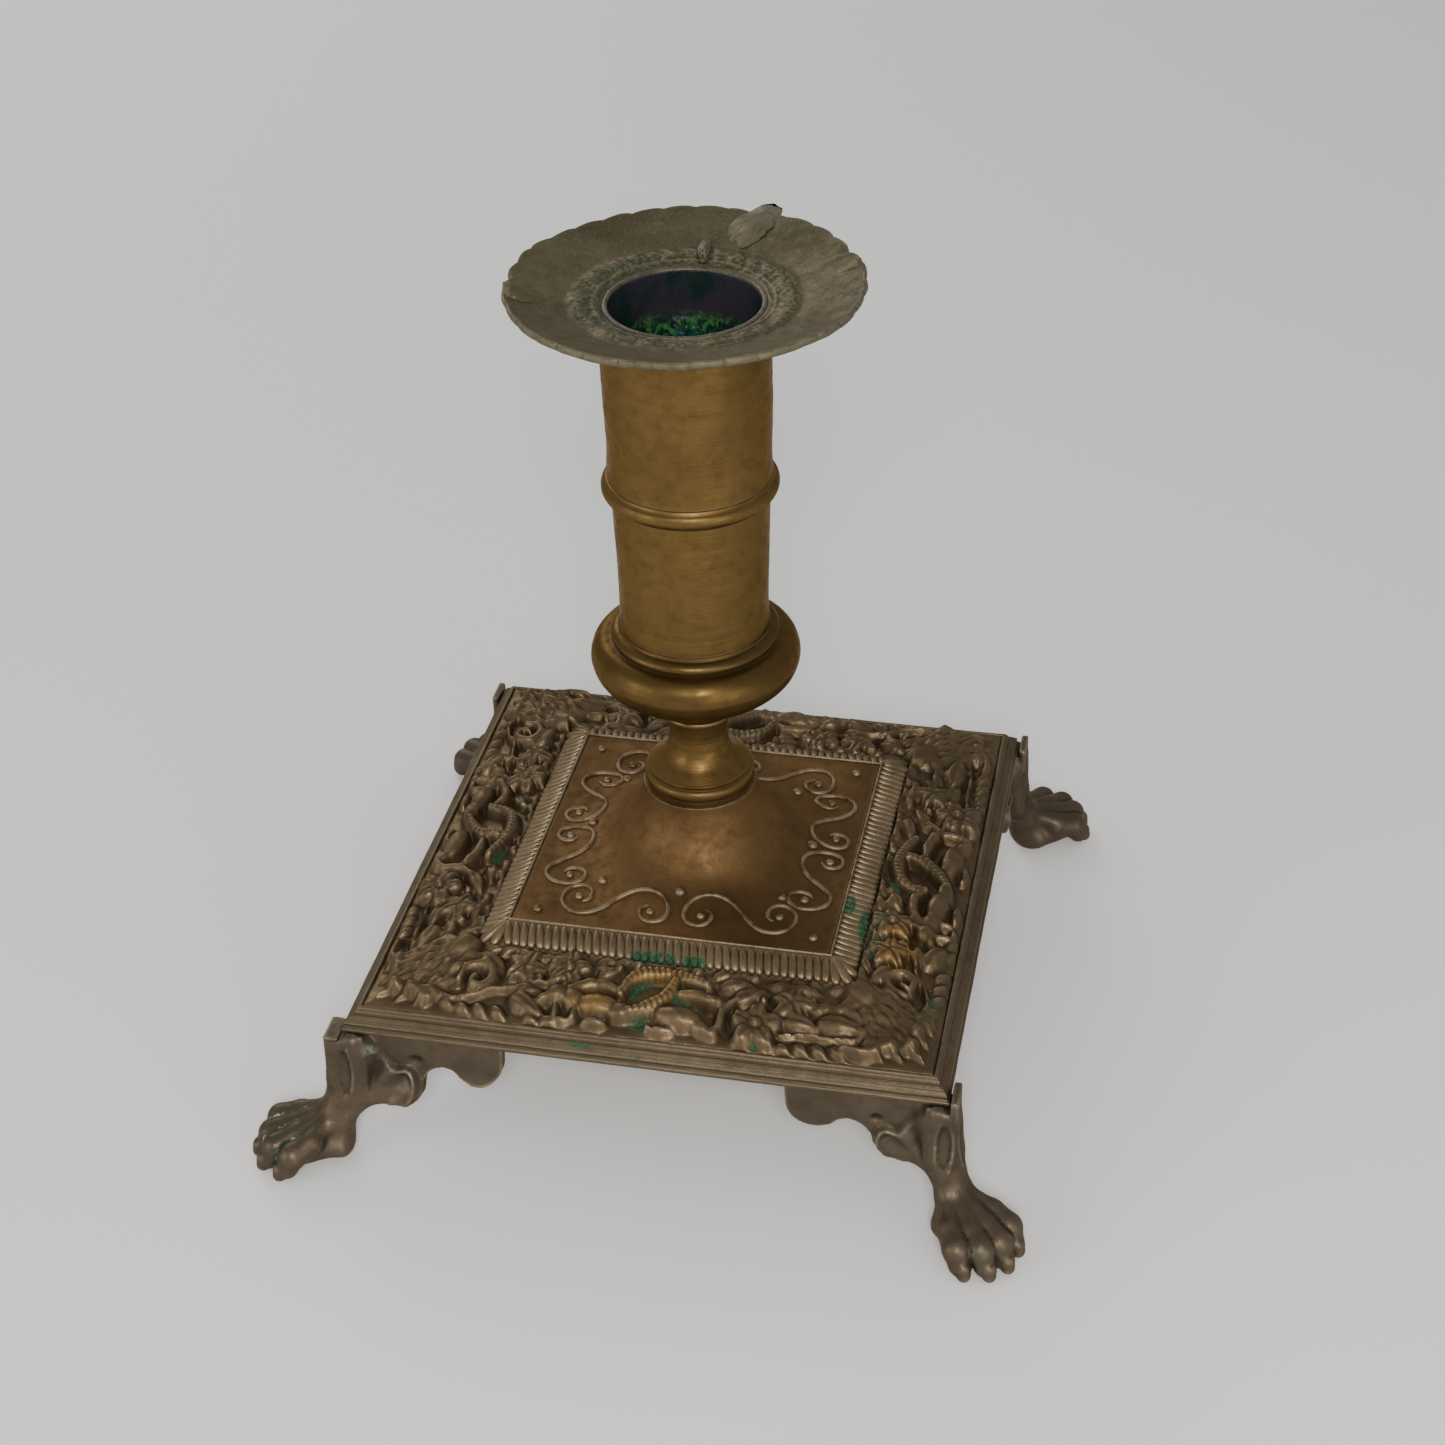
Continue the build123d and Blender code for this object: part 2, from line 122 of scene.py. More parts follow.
class Finishes(bpy.types.PropertyGroup):
    """Colours of the aged brass."""
    tube: colour("Tube brass", "Golden brown of the turned tubes", (0.122, 0.076, 0.025))
    panel: colour("Panel brass", "Brown of the domed panel", (0.12, 0.069, 0.028))
    border: colour("Border brass", "Grey brown of the cast border", (0.114, 0.081, 0.045))
    foot: colour("Foot brass", "Grey brown of the feet", (0.086, 0.068, 0.047))
    pan: colour("Pan patina", "Olive grey of the pan", (0.088, 0.078, 0.042))
    worn: colour("Worn metal", "Bare metal on rubbed edges", (0.34, 0.28, 0.195))
    gilt: colour("Gilt", "Golden metal where the relief is rubbed", (0.24, 0.145, 0.05))
    verdigris: colour("Verdigris", "Green corrosion", (0.018, 0.068, 0.034))


# ---- small mesh tools ---------------------------------------------------------------------

def quads_of_grid(rows, cols, wrap_rows=False, wrap_cols=False):
    """Quads between neighbouring points of a rows x cols grid of vertices."""
    r = np.arange(rows if wrap_rows else rows - 1)
    c = np.arange(cols if wrap_cols else cols - 1)
    r, c = np.meshgrid(r, c, indexing="ij")
    r2, c2 = (r + 1) % rows, (c + 1) % cols
    return np.stack([r * cols + c, r2 * cols + c, r2 * cols + c2, r * cols + c2], -1).reshape(-1, 4)


def mesh_of(name, points_mm, quads):
    """Mesh from millimetre points and an array of quads or triangles."""
    points, quads = np.asarray(points_mm, np.float32) * MM, np.asarray(quads, np.int32)
    mesh = bpy.data.meshes.new(name)
    mesh.vertices.add(len(points))
    mesh.vertices.foreach_set("co", points.ravel())
    mesh.loops.add(quads.size)
    mesh.loops.foreach_set("vertex_index", quads.ravel())
    mesh.polygons.add(len(quads))
    mesh.polygons.foreach_set("loop_start", np.arange(len(quads), dtype=np.int32) * quads.shape[1])
    mesh.polygons.foreach_set("loop_total", np.full(len(quads), quads.shape[1], np.int32))
    mesh.update(calc_edges=True)
    mesh.validate()
    return mesh


def vertices_mm(mesh):
    """Array of the mesh's vertices, in millimetres."""
    co = np.zeros(len(mesh.vertices) * 3, np.float32)
    mesh.vertices.foreach_get("co", co)
    return co.reshape(-1, 3) / MM


def link_object(name, data):
    """New object in the scene."""
    made = bpy.data.objects.new(name, data)
    bpy.context.scene.collection.objects.link(made)
    return made


def point_outwards(mesh):
    """Recalculate the normals of closed shells."""
    work = bmesh.new()
    work.from_mesh(mesh)
    bmesh.ops.remove_doubles(work, verts=work.verts, dist=1e-7)
    bmesh.ops.recalc_face_normals(work, faces=work.faces)
    work.to_mesh(mesh)
    work.free()


def curvature(mesh, passes):
    """How far each vertex stands proud of its neighbours (+) or lies below them (-), smoothed."""
    count = len(mesh.vertices)
    co, no = np.zeros(count * 3, np.float32), np.zeros(count * 3, np.float32)
    mesh.vertices.foreach_get("co", co)
    mesh.vertices.foreach_get("normal", no)
    co, no = co.reshape(-1, 3), no.reshape(-1, 3)
    edges = np.zeros(len(mesh.edges) * 2, np.int32)
    mesh.edges.foreach_get("vertices", edges)
    a, b = edges.reshape(-1, 2).T
    step = co[b] - co[a]
    length = np.linalg.norm(step, axis=1) + 1e-9
    bend_a = -np.einsum("ij,ij->i", step, no[a]) / length**2
    bend_b = np.einsum("ij,ij->i", step, no[b]) / length**2
    near = np.bincount(a, minlength=count) + np.bincount(b, minlength=count)
    bend = np.bincount(a, bend_a, count) + np.bincount(b, bend_b, count)
    bend = bend / np.maximum(near, 1)
    for _ in range(passes):
        spread = np.bincount(a, bend[b], count) + np.bincount(b, bend[a], count)
        bend = 0.4 * bend + 0.6 * spread / np.maximum(near, 1)
    return bend * MM


def set_attribute(mesh, name, values):
    """Store one number for each vertex."""
    layer = mesh.attributes.get(name) or mesh.attributes.new(name, "FLOAT", "POINT")
    layer.data.foreach_set("value", np.asarray(values, np.float32))


def place(name, mesh, material, body, replaced=(), sharp=40, passes=2):
    """Link a finished mesh as a piece that rides on a body and stands for CAD nodes."""
    mesh.name = name
    mesh.materials.clear()
    mesh.materials.append(material)
    mesh.polygons.foreach_set("use_smooth", np.ones(len(mesh.polygons), bool))
    mesh.set_sharp_from_angle(angle=math.radians(sharp))
    set_attribute(mesh, "bend", curvature(mesh, passes))
    piece = link_object(name, mesh)
    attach(piece, body)
    if replaced:
        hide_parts(*replaced)


def smooth(low, high, value):
    """0 below low, 1 above high, eased between."""
    t = np.clip((value - low) / (high - low), 0, 1)
    return t * t * (3 - 2 * t)


def hump(value, middle, width):
    """Bell-shaped hump, 1 in its middle."""
    return np.exp(-((value - middle) / width) ** 2)


def square_reach(half, a):
    """Distance from the middle of a square to its edge, in direction a."""
    return half / np.maximum(np.abs(np.cos(a)), np.abs(np.sin(a)))


def round_points(r, a, *more):
    """Points at a radius and an angle about the stem, with any further coordinates."""
    return np.stack([np.cos(a) * r, np.sin(a) * r, *more], -1)


def shifted(out, up, points):
    """Outline points moved outwards and up."""
    return [(out + r, up + z) for r, z in points]


def local(x, y, at, angle):
    """Coordinates in plan relative to a point, with the first axis along angle."""
    c, s = math.cos(angle), math.sin(angle)
    dx, dy = x - at[0], y - at[1]
    return dx * c + dy * s, -dx * s + dy * c


def noise(points, size, seed, octaves=3):
    """Smooth repeatable noise of about -1 to 1 on points of any dimension; size is the largest lump."""
    points = np.asarray(points, np.float64)
    total, strength = 0.0, 1.0
    table = np.random.default_rng(seed).uniform(-1, 1, 4096)
    primes = np.array([73856093, 19349663, 83492791])[: points.shape[-1]]
    for octave in range(octaves):
        cell = points / size * 2**octave + 17.3 * octave
        base = np.floor(cell).astype(np.int64)
        part = cell - base
        part = part * part * (3 - 2 * part)
        value = 0.0
        for corner in np.ndindex(*(2,) * points.shape[-1]):
            pick = np.array(corner)
            weight = np.prod(np.where(pick, part, 1 - part), axis=-1)
            value = value + weight * table[np.bitwise_and(((base + pick) * primes).sum(-1), 4095)]
        total = total + strength * value
        strength *= 0.5
    return total


def eased_line(points, turn=0.25, steps=5):
    """Rounds each corner of an open outline, cutting at most turn off the shorter run."""
    points = [np.array(p, float) for p in points]
    line = [points[0]]
    for before, corner, after in zip(points, points[1:], points[2:]):
        into, out = before - corner, after - corner
        cut = min(turn, 0.45 * np.linalg.norm(into), 0.45 * np.linalg.norm(out))
        start = corner + into / np.linalg.norm(into) * cut
        end = corner + out / np.linalg.norm(out) * cut
        for t in np.linspace(0, 1, steps):
            line.append((1 - t) ** 2 * start + 2 * t * (1 - t) * corner + t**2 * end)
    line.append(points[-1])
    return np.array(line)


def curve_through(points, count):
    """Smooth line through given points (Catmull-Rom, chordal)."""
    p = np.array(points, float)
    p = np.vstack([2 * p[0] - p[1], p, 2 * p[-1] - p[-2]])
    knots = np.concatenate([[0], np.cumsum(np.sqrt(np.linalg.norm(np.diff(p, axis=0), axis=1)))])
    wanted = np.linspace(knots[1], knots[-2], count)
    k = np.clip(np.searchsorted(knots, wanted, side="right") - 1, 1, len(p) - 3)
    t0, t1, t2, t3 = (knots[k + i][:, None] for i in (-1, 0, 1, 2))
    t = wanted[:, None]
    a1 = (t1 - t) / (t1 - t0) * p[k - 1] + (t - t0) / (t1 - t0) * p[k]
    a2 = (t2 - t) / (t2 - t1) * p[k] + (t - t1) / (t2 - t1) * p[k + 1]
    a3 = (t3 - t) / (t3 - t2) * p[k + 1] + (t - t2) / (t3 - t2) * p[k + 2]
    b1 = (t2 - t) / (t2 - t0) * a1 + (t - t0) / (t2 - t0) * a2
    b2 = (t3 - t) / (t3 - t1) * a2 + (t - t1) / (t3 - t1) * a3
    return (t2 - t) / (t2 - t1) * b1 + (t - t1) / (t2 - t1) * b2


def turned(name, outline, segments, shape=None):
    """Closed turned shell from a closed (radius, height) outline; shape moves its points."""
    outline = np.asarray(outline, float)
    angle = np.linspace(0, 2 * np.pi, segments, endpoint=False)
    r, a = np.meshgrid(outline[:, 0], angle)
    z, _ = np.meshgrid(outline[:, 1], angle)
    if shape is not None:
        r, z = shape(r, z, a)
    points = round_points(r, a, z).reshape(-1, 3)
    mesh = mesh_of(name, points, quads_of_grid(segments, len(outline), True, True))
    point_outwards(mesh)
    return mesh


def finer(outline, step):
    """Adds points to a closed outline so that no run is longer than step."""
    outline = np.asarray(outline, float)
    line = []
    for a, b in zip(outline, np.roll(outline, -1, axis=0)):
        count = max(1, int(np.ceil(np.linalg.norm(b - a) / step)))
        line += [a + (b - a) * t for t in np.arange(count) / count]
    return np.array(line)


# ---- node tools ---------------------------------------------------------------------------

def node(tree, kind, inputs=(), **settings):
    """Add a node, set its settings, and fill its inputs with sockets or values."""
    made = tree.nodes.new(kind)
    for key, value in settings.items():
        setattr(made, key, value)
    for key, value in dict(inputs).items():
        if isinstance(value, bpy.types.NodeSocket):
            tree.links.new(value, made.inputs[key])
        elif value is not None:
            made.inputs[key].default_value = value
    return made


def ranged(tree, value, low, high, to_low=0.0, to_high=1.0):
    """Eases a value from one range to another."""
    made = node(tree, "ShaderNodeMapRange", {0: value, 1: low, 2: high, 3: to_low, 4: to_high},
                interpolation_type="SMOOTHSTEP")
    return made.outputs[0]


def times(tree, a, b, operation="MULTIPLY"):
    """Product of two values, or the result of another operation on them."""
    return node(tree, "ShaderNodeMath", {0: a, 1: b}, operation=operation).outputs[0]


def blended(tree, factor, a, b):
    """Mix of two colours."""
    return node(tree, "ShaderNodeMix", {0: factor, 6: a, 7: b}, data_type="RGBA").outputs[2]


def clouds(tree, coords, scale, detail=4.0, rough=0.55, stretch=None, twist=0.0):
    """Noise on coordinates, optionally stretched."""
    if stretch:
        coords = node(tree, "ShaderNodeMapping", {0: coords, 3: stretch}).outputs[0]
    made = node(tree, "ShaderNodeTexNoise", {"Vector": coords, "Scale": scale, "Detail": detail,
                                             "Roughness": rough, "Distortion": twist})
    return made.outputs[0]


def shade(rgb, factor=1.0):
    """Opaque colour, made darker or lighter by a factor."""
    return (rgb[0] * factor, rgb[1] * factor, rgb[2] * factor, 1.0)


EDGE_TINT = (0.6, 0.5, 0.4, 1)      # glancing reflections stay warm and dim


def attribute(tree, name):
    """Value that the mesh stores for each vertex."""
    return node(tree, "ShaderNodeAttribute", attribute_name=name).outputs["Fac"]


def new_material(name):
    """Material with its node tree and shader."""
    material = bpy.data.materials.new(name)
    material.use_nodes = True
    return material, material.node_tree, material.node_tree.nodes["Principled BSDF"]


def feed(tree, shader, colour, metallic, roughness, height, strength, distance):
    """Link the shader to what varies over the surface."""
    bump = node(tree, "ShaderNodeBump", {"Strength": strength, "Distance": distance, "Height": height})
    for key, value in (("Base Color", colour), ("Metallic", metallic), ("Roughness", roughness),
                       ("Normal", bump.outputs[0])):
        tree.links.new(value, shader.inputs[key])


def aged_brass(name, body, colours, worn=None, mottle=0.45, wear=0.5, dirt=0.8, rough=0.42, metal=0.85,
               rings=0.0, grain=0.12, green=0.0, crust=False, dust=0.0, gold=None):
    """Brown-patinated brass: mottled body, dark hollows, rubbed edges, green where it has corroded."""
    material, tree, shader = new_material(name)
    shader.inputs["Specular Tint"].default_value = EDGE_TINT
    verdigris = colours.verdigris
    coords = node(tree, "ShaderNodeTexCoord").outputs["Object"]
    bend = attribute(tree, "bend")
    broad = clouds(tree, coords, 55, 5, 0.6)
    fine = clouds(tree, coords, 420, 6, 0.65)
    speck = clouds(tree, coords, 2600, 2, 0.5)

    colour = blended(tree, ranged(tree, broad, 0.32, 0.7), shade(body, 1 - mottle),
                     shade(body, 1 + mottle * 0.5))
    colour = blended(tree, ranged(tree, fine, 0.4, 0.75, 0, 0.55), colour, shade(body, 0.55))
    hollow = times(tree, ranged(tree, bend, -0.02, -0.45), dirt)
    colour = blended(tree, hollow, colour, shade(body, 0.22))
    rubbed = ranged(tree, bend, 0.08, 0.75)
    rubbed = times(tree, times(tree, rubbed, ranged(tree, fine, 0.3, 0.62)), wear)
    colour = blended(tree, rubbed, colour, shade(worn or colours.worn))
    if gold:
        gilt = times(tree, attribute(tree, "gilt"), ranged(tree, fine, 0.3, 0.6, 0.4, 1.0))
        bright = blended(tree, ranged(tree, bend, -0.2, 0.3), shade(gold, 0.3), shade(gold))
        colour = blended(tree, gilt, colour, bright)
    roughness = ranged(tree, fine, 0.3, 0.75, rough - 0.08, rough + 0.14)
    roughness = times(tree, roughness, times(tree, rubbed, 0.18), "SUBTRACT")
    metallic = ranged(tree, hollow, 0.0, 1.0, metal, metal * 0.5)
    if dust:
        settled = times(tree, ranged(tree, speck, 0.5, 0.78), dust)
        colour = blended(tree, settled, colour, (0.22, 0.2, 0.16, 1))
    if green:
        spread = times(tree, attribute(tree, "green"), ranged(tree, fine, 0.3, 0.55))
        spread = ranged(tree, times(tree, spread, green), 0.0, 1.0)
        tint = blended(tree, ranged(tree, speck, 0.35, 0.7), shade(verdigris, 0.5), shade(verdigris, 1.25))
        if crust:
            tint = blended(tree, ranged(tree, fine, 0.5, 0.62), tint, (0.3, 0.33, 0.25, 1))
        colour = blended(tree, spread, colour, tint)
        metallic = times(tree, metallic, ranged(tree, spread, 0.0, 1.0, 1.0, 0.1))
        roughness = times(tree, roughness, times(tree, spread, 0.25), "ADD")
    height = times(tree, times(tree, fine, 0.7), times(tree, speck, 0.35), "ADD")
    if rings:
        lathe = clouds(tree, coords, 60, 3, 0.7, stretch=(0.15, 0.15, 42))
        height = times(tree, height, times(tree, lathe, rings), "ADD")
    feed(tree, shader, colour, metallic, roughness, height, grain, 0.0004)
    return material


def made_by(tree_name, build, base_mesh, values, material):
    """Runs a geometry node tree on a mesh and returns the plain result.

    build(tree, inputs) fills the tree and returns its last geometry socket; values holds the
    modifier's inputs by name.
    """
    tree = bpy.data.node_groups.new(tree_name, "GeometryNodeTree")
    tree.interface.new_socket("Geometry", in_out="INPUT", socket_type="NodeSocketGeometry")
    tree.interface.new_socket("Geometry", in_out="OUTPUT", socket_type="NodeSocketGeometry")
    names = {}
    for name, value in values.items():
        kind = "NodeSocketInt" if isinstance(value, int) else "NodeSocketFloat"
        if isinstance(value, (tuple, Vector)):
            kind = "NodeSocketVector"
        names[name] = tree.interface.new_socket(name, in_out="INPUT", socket_type=kind).identifier
    start = tree.nodes.new("NodeGroupInput")
    result = build(tree, start.outputs)
    realized = node(tree, "GeometryNodeRealizeInstances", {0: result}).outputs[0]
    painted = node(tree, "GeometryNodeSetMaterial", {"Geometry": realized, "Material": material}).outputs[0]
    end = tree.nodes.new("NodeGroupOutput")
    tree.links.new(painted, end.inputs[0])

    carrier = link_object(tree_name, base_mesh)
    modifier = carrier.modifiers.new(tree_name, "NODES")
    modifier.node_group = tree
    for name, identifier in names.items():
        modifier[identifier] = values[name]
    shown = carrier.evaluated_get(bpy.context.evaluated_depsgraph_get())
    mesh = bpy.data.meshes.new_from_object(shown)
    carrier.modifiers.remove(modifier)
    bpy.data.objects.remove(carrier)
    return mesh


def joined(name, *meshes):
    """One mesh holding the shells of several, as they are."""
    work = bmesh.new()
    for mesh in meshes:
        work.from_mesh(mesh)
    mesh = bpy.data.meshes.new(name)
    work.to_mesh(mesh)
    work.free()
    return mesh


def turned_about_z(mesh, quarter_turns):
    """Copy of a mesh, turned about the stem."""
    copy = mesh.copy()
    copy.transform(Matrix.Rotation(quarter_turns * math.pi / 2, 4, "Z"))
    return copy


# ---- stem ---------------------------------------------------------------------------------

def tube_shape(dent, ring, outside_r, seed):
    """Bends a tube's outside a little and cuts fine lathe rings in it."""
    def shape(r, z, a):
        around = round_points(12, a, z)
        lump = noise(around, 11, seed, 2) * dent / MM
        lines = noise(z[..., None], 0.9, seed + 1, 2) * ring / MM
        return r + np.where(r > outside_r, lump + lines, 0), z
    return shape


def stem_pieces(sizes, colours):
    low, high = cad_mm("candle_tube")
    bore = 11.77
    top, foot = high[2], low[2]
    tube = aged_brass("tube_brass", colours.tube, colours, mottle=0.14, wear=0.2,
                      dirt=0.35, rough=0.4, metal=0.85, rings=1.6, grain=0.12)
    dark = aged_brass("knop_brass", [c * 0.8 for c in colours.tube], colours,
                      mottle=0.2, wear=0.3, dirt=0.6, rough=0.38, metal=0.85, rings=0.8, grain=0.09)

    def turn(name, outline, step, uneven, ring, outside_r, seed, brass=tube, slot="stem_brass"):
        shape = tube_shape(sizes.dent * uneven, ring, outside_r, seed)
        place(name, turned(name, finer(outline, step), sizes.segments, shape), brass, STAND, [name])

    outer = curve_through([(12.62, foot), (12.46, foot + 3.8), (12.58, foot + 9.4), (12.7, foot + 17.4),
                           (12.72, top - 0.2)], 60)
    outline = np.vstack([outer, [(12.6, top), (bore, top), (bore, foot)]])
    turn("candle_tube", outline, 0.6, 1, sizes.ring, 12.2, 3)

    low, high = cad_mm("joint_collar")
    bead_low = cad_mm("stem_tube")[1][2]
    middle = (bead_low + foot) / 2
    belly = [(12.15, bead_low), (12.45, bead_low + 0.05), (12.62, bead_low + 0.35), (12.7, bead_low + 0.5)]
    belly += [(12.55 + 1.05 * math.cos(t), middle + 1.28 * math.sin(t)) for t in np.linspace(-1.15, 1.15, 15)]
    belly += [(12.85, foot - 0.28), (12.75, foot - 0.06), (12.6, foot)]
    inner = [(11.72, foot), (11.72, high[2]), (ROD_HOLE, high[2]), (ROD_HOLE, low[2]), (10.95, low[2]),
             (10.95, bead_low)]
    turn("joint_collar", belly + inner, 0.8, 0.7, 0, 12.2, 5)

    low, high = cad_mm("stem_tube")
    outer = [(11.72, low[2]), (11.62, low[2] + 3), (11.85, low[2] + 13.7), (12.12, high[2])]
    outer = curve_through(outer, 50)
    outline = np.vstack([outer, [(11.0, high[2]), (11.0, high[2] - 4), (10.4, high[2] - 4), (10.4, low[2])]])
    turn("stem_tube", outline, 0.6, 1, sizes.ring, 11.4, 7)

    low, high = cad_mm("knop")
    seat = cad_mm("stem_tube")[0][2]
    foot = low[2]
    swell = shifted(0, seat, [(13.35, -2.35), (14.6, -2.55), (15.9, -3.7), (16.5, -5.8), (16.2, -7.6),
                              (15.0, -9.4), (12.2, -11.4), (9.6, -13.4), (7.4, -15.2), (6.0, -15.9)])
    shoulder = shifted(0, seat, [(13.1, -2.2), (13.28, -1.8), (13.2, -1.3), (12.9, -0.9), (12.4, -0.62),
                                 (12.05, -0.5), (11.95, -0.2), (11.9, 0)])
    outline = [(ROD_HOLE, foot), (5.6, foot), (5.75, foot + 0.25)]
    outline += list(curve_through(swell, 70)[::-1]) + shoulder
    outline += [(10.35, seat), (10.35, high[2]), (ROD_HOLE, high[2])]
    turn("knop", outline, 0.6, 0.8, sizes.ring, 5, 9, dark, "knop_brass")

    low, high = cad_mm("neck")
    waist = shifted(0, TRAY_Z, [(8.35, 21.15), (7.4, 21.9), (6.1, 23.0), (5.1, 24.6), (4.72, 27),
                                (4.85, 29.6), (5.1, 30.7)])
    ring = [(8.35 + 0.6 * math.cos(t), TRAY_Z + 19.55 + 1.0 * math.sin(t))
            for t in np.linspace(-1.4, 1.4, 13)]
    outline = [(ROD_HOLE, low[2]), (8.45, low[2]), (8.45, TRAY_Z + 18.45)] + ring
    outline += shifted(0, TRAY_Z, [(8.2, 20.75), (8.25, 21.0)]) + list(curve_through(waist, 40))
    outline += shifted(0, TRAY_Z, [(5.62, 30.9), (5.78, 31.25), (5.7, 31.6)])
    outline += [(5.6, high[2]), (ROD_HOLE, high[2])]
    turn("neck", outline, 0.5, 0.5, sizes.ring, 4.5, 11)


# ---- drip pan -----------------------------------------------------------------------------

def petal(x, y, at, angle, length, width, height):
    """Height of a raised, thumb-shaped fold with one crisp edge."""
    u, v = local(x, y, at, angle)
    u, v = u / length, v / width
    inside = 1 - u * u - v * v
    return height * smooth(0, 0.22, inside) * (0.55 + 0.45 * np.clip(u, -1, 1))


def pan_pieces(sizes, colours):
    low, high = cad_mm("drip_pan")
    seat, rim = low[2], high[0]
    top = seat + 1.1
    upper = shifted(0, top, [(SLEEVE, -0.25), (12.6, 0.15), (13.8, 0.5), (15.4, 0.85), (16.4, 0.8),
                             (17.4, 0.75), (19.4, 1.3), (22.5, 2.25), (rim - 0.5, 3.35)])
    upper = curve_through(upper, 110)
    edge = shifted(rim, top, [(-0.15, 3.5), (0.12, 3.3), (0.2, 2.8), (0, 2.35), (-0.5, 2.1)])
    under = shifted(0, top, [(rim - 1.0, 2.05), (22.2, 1.15), (18.4, 0.05)])
    under = curve_through(under + [(14.6, seat + 0.02), (SLEEVE, seat)], 50)
    outline = np.vstack([upper, edge, under])
    rng = np.random.default_rng(41)
    waves = rng.uniform(0.55, 1.25, sizes.scallops)
    shifts = rng.uniform(-0.16, 0.16, sizes.scallops)

    def shape(r, z, a):
        turn = a / (2 * np.pi) * sizes.scallops
        cell = np.floor(turn).astype(int) % sizes.scallops
        phase = turn - np.floor(turn) + shifts[cell] * np.sin(np.pi * (turn - np.floor(turn)))
        wave = waves[cell] * (np.abs(np.sin(np.pi * phase)) ** 0.7 - 0.6)
        outward = smooth(19.5, rim, r)
        around = round_points(r, a)
        x, y = around[..., 0], around[..., 1]
        on_rim = round_points(rim, a)
        new_r = r + outward * (wave * sizes.scallop / MM + 0.25 * noise(on_rim, 12, 43, 2))
        lift = noise(around, 17, 47, 2) * sizes.warp / MM * smooth(14, 24, r)
        lift = lift + wave * 0.16 * outward + 0.07 * noise(around, 2.6, 51, 2) * smooth(12.5, 15, r)
        lift = lift - 0.55 * np.exp(-((x - 5.6) / 3.4) ** 2 - ((y - 23.4) / 4.0) ** 2)
        facing_up = np.where(np.arange(z.shape[1]) < len(upper) + 2, 1.0, 0.25)
        lift = lift + facing_up * petal(x, y, (-23.0, -6.5), math.radians(192), 4.0, 2.5, 0.75)
        lift = lift + facing_up * petal(x, y, (23.2, 9.2), math.radians(28), 2.6, 1.3, 0.55)
        lift = lift - 0.5 * smooth(24.0, 26, r) * hump(a, math.radians(33), 0.035)
        new_r = new_r - 0.9 * outward * hump(a, math.radians(31), 0.03)
        new_r = new_r - 0.7 * outward * hump(a, math.radians(187), 0.03)
        ridge = (0.1 * hump(r, 13.3, 0.3) + 0.22 * noise(around, 2.2, 53, 3) * smooth(12.2, 13, r)
                 * smooth(18, 15.5, r)) * facing_up
        return new_r, np.minimum(z + lift + ridge, high[2] - 0.02)

    mesh = turned("drip_pan", finer(outline, 0.45), 720, shape)
    co = vertices_mm(mesh)
    radius = np.hypot(co[:, 0], co[:, 1])
    side = co[:, 0] / np.maximum(radius, 1e-6)
    set_attribute(mesh, "green", smooth(19, 14, radius) * (0.25 + 0.5 * smooth(0.2, -0.9, side)))
    set_attribute(mesh, "gilt", smooth(11.9, 12.6, radius) * smooth(17.4, 15.8, radius))
    patina = aged_brass("pan_patina", colours.pan, colours, worn=(0.3, 0.28, 0.22), mottle=0.3, wear=0.4,
                        dirt=0.7, rough=0.5, metal=0.5, grain=0.32, green=0.5, dust=0.3,
                        gold=(0.13, 0.118, 0.07))
    place("drip_pan", mesh, patina, PAN, ["drip_pan"], passes=3)

    # wax stuck to the pan: a lump at the back of the hole and a flake run over the rim
    wax = aged_brass("old_wax", [0.085, 0.074, 0.042], colours, worn=(0.15, 0.135, 0.085), mottle=0.25,
                     wear=0.4, dirt=0.6, rough=0.5, metal=0.0, grain=0.3, green=0.4)
    for name, size, turn, middle in (("wax_lump", (1.0, 3.4, 0.8), 0.1, (-0.3, 15.8, top + 1.05)),
                                     ("wax_flake", (3.4, 4.9, 0.4), -0.45, (5.6, 21.9, top + 2.25))):
        blob = bmesh.new()
        bmesh.ops.create_icosphere(blob, subdivisions=5, radius=1.0)
        points = np.array([v.co for v in blob.verts])
        points = points * (1 + 0.34 * noise(points, 0.9, 61, 4)[:, None]) * np.array(size)
        points[:, 2] += 0.29 * points[:, 1] * (name == "wax_flake")
        turned_x = points[:, 0] * math.cos(turn) - points[:, 1] * math.sin(turn)
        points[:, 1] = points[:, 0] * math.sin(turn) + points[:, 1] * math.cos(turn)
        points[:, 0] = turned_x
        points = points + np.array(middle)
        points[:, 2] = np.minimum(points[:, 2], high[2] - 0.03)
        for vert, point in zip(blob.verts, points):
            vert.co = point * MM
        mesh = bpy.data.meshes.new(name)
        blob.to_mesh(mesh)
        blob.free()
        set_attribute(mesh, "green", np.full(len(mesh.vertices), 0.2))
        place(name, mesh, wax, PAN)

    # nozzle: sleeve with a thin lip lying on the pan
    low, high = cad_mm("pan_nozzle")
    top = high[2]
    lip = shifted(BORE, top, [(0, -0.9), (0.08, -0.6), (0.3, -0.42), (0.6, -0.42), (0.8, -0.55),
                              (0.85, -0.66)])
    outline = [(BORE, low[2])] + lip + [(SLEEVE, top - 0.6), (SLEEVE, low[2])]

    def crusted(r, z, a):
        around = round_points(r, a, z)
        deep = smooth(top - 6, top - 11, z)
        crust = np.clip(noise(around, 2.2, 71, 3), 0, 1.5) * 0.42 * deep * (r < SLEEVE - 0.2)
        wobble = 0.1 * noise(around, 5, 73, 2) * (z > top - 0.7)
        return r - crust + wobble * (r > BORE + 0.3), z + wobble * 0.5

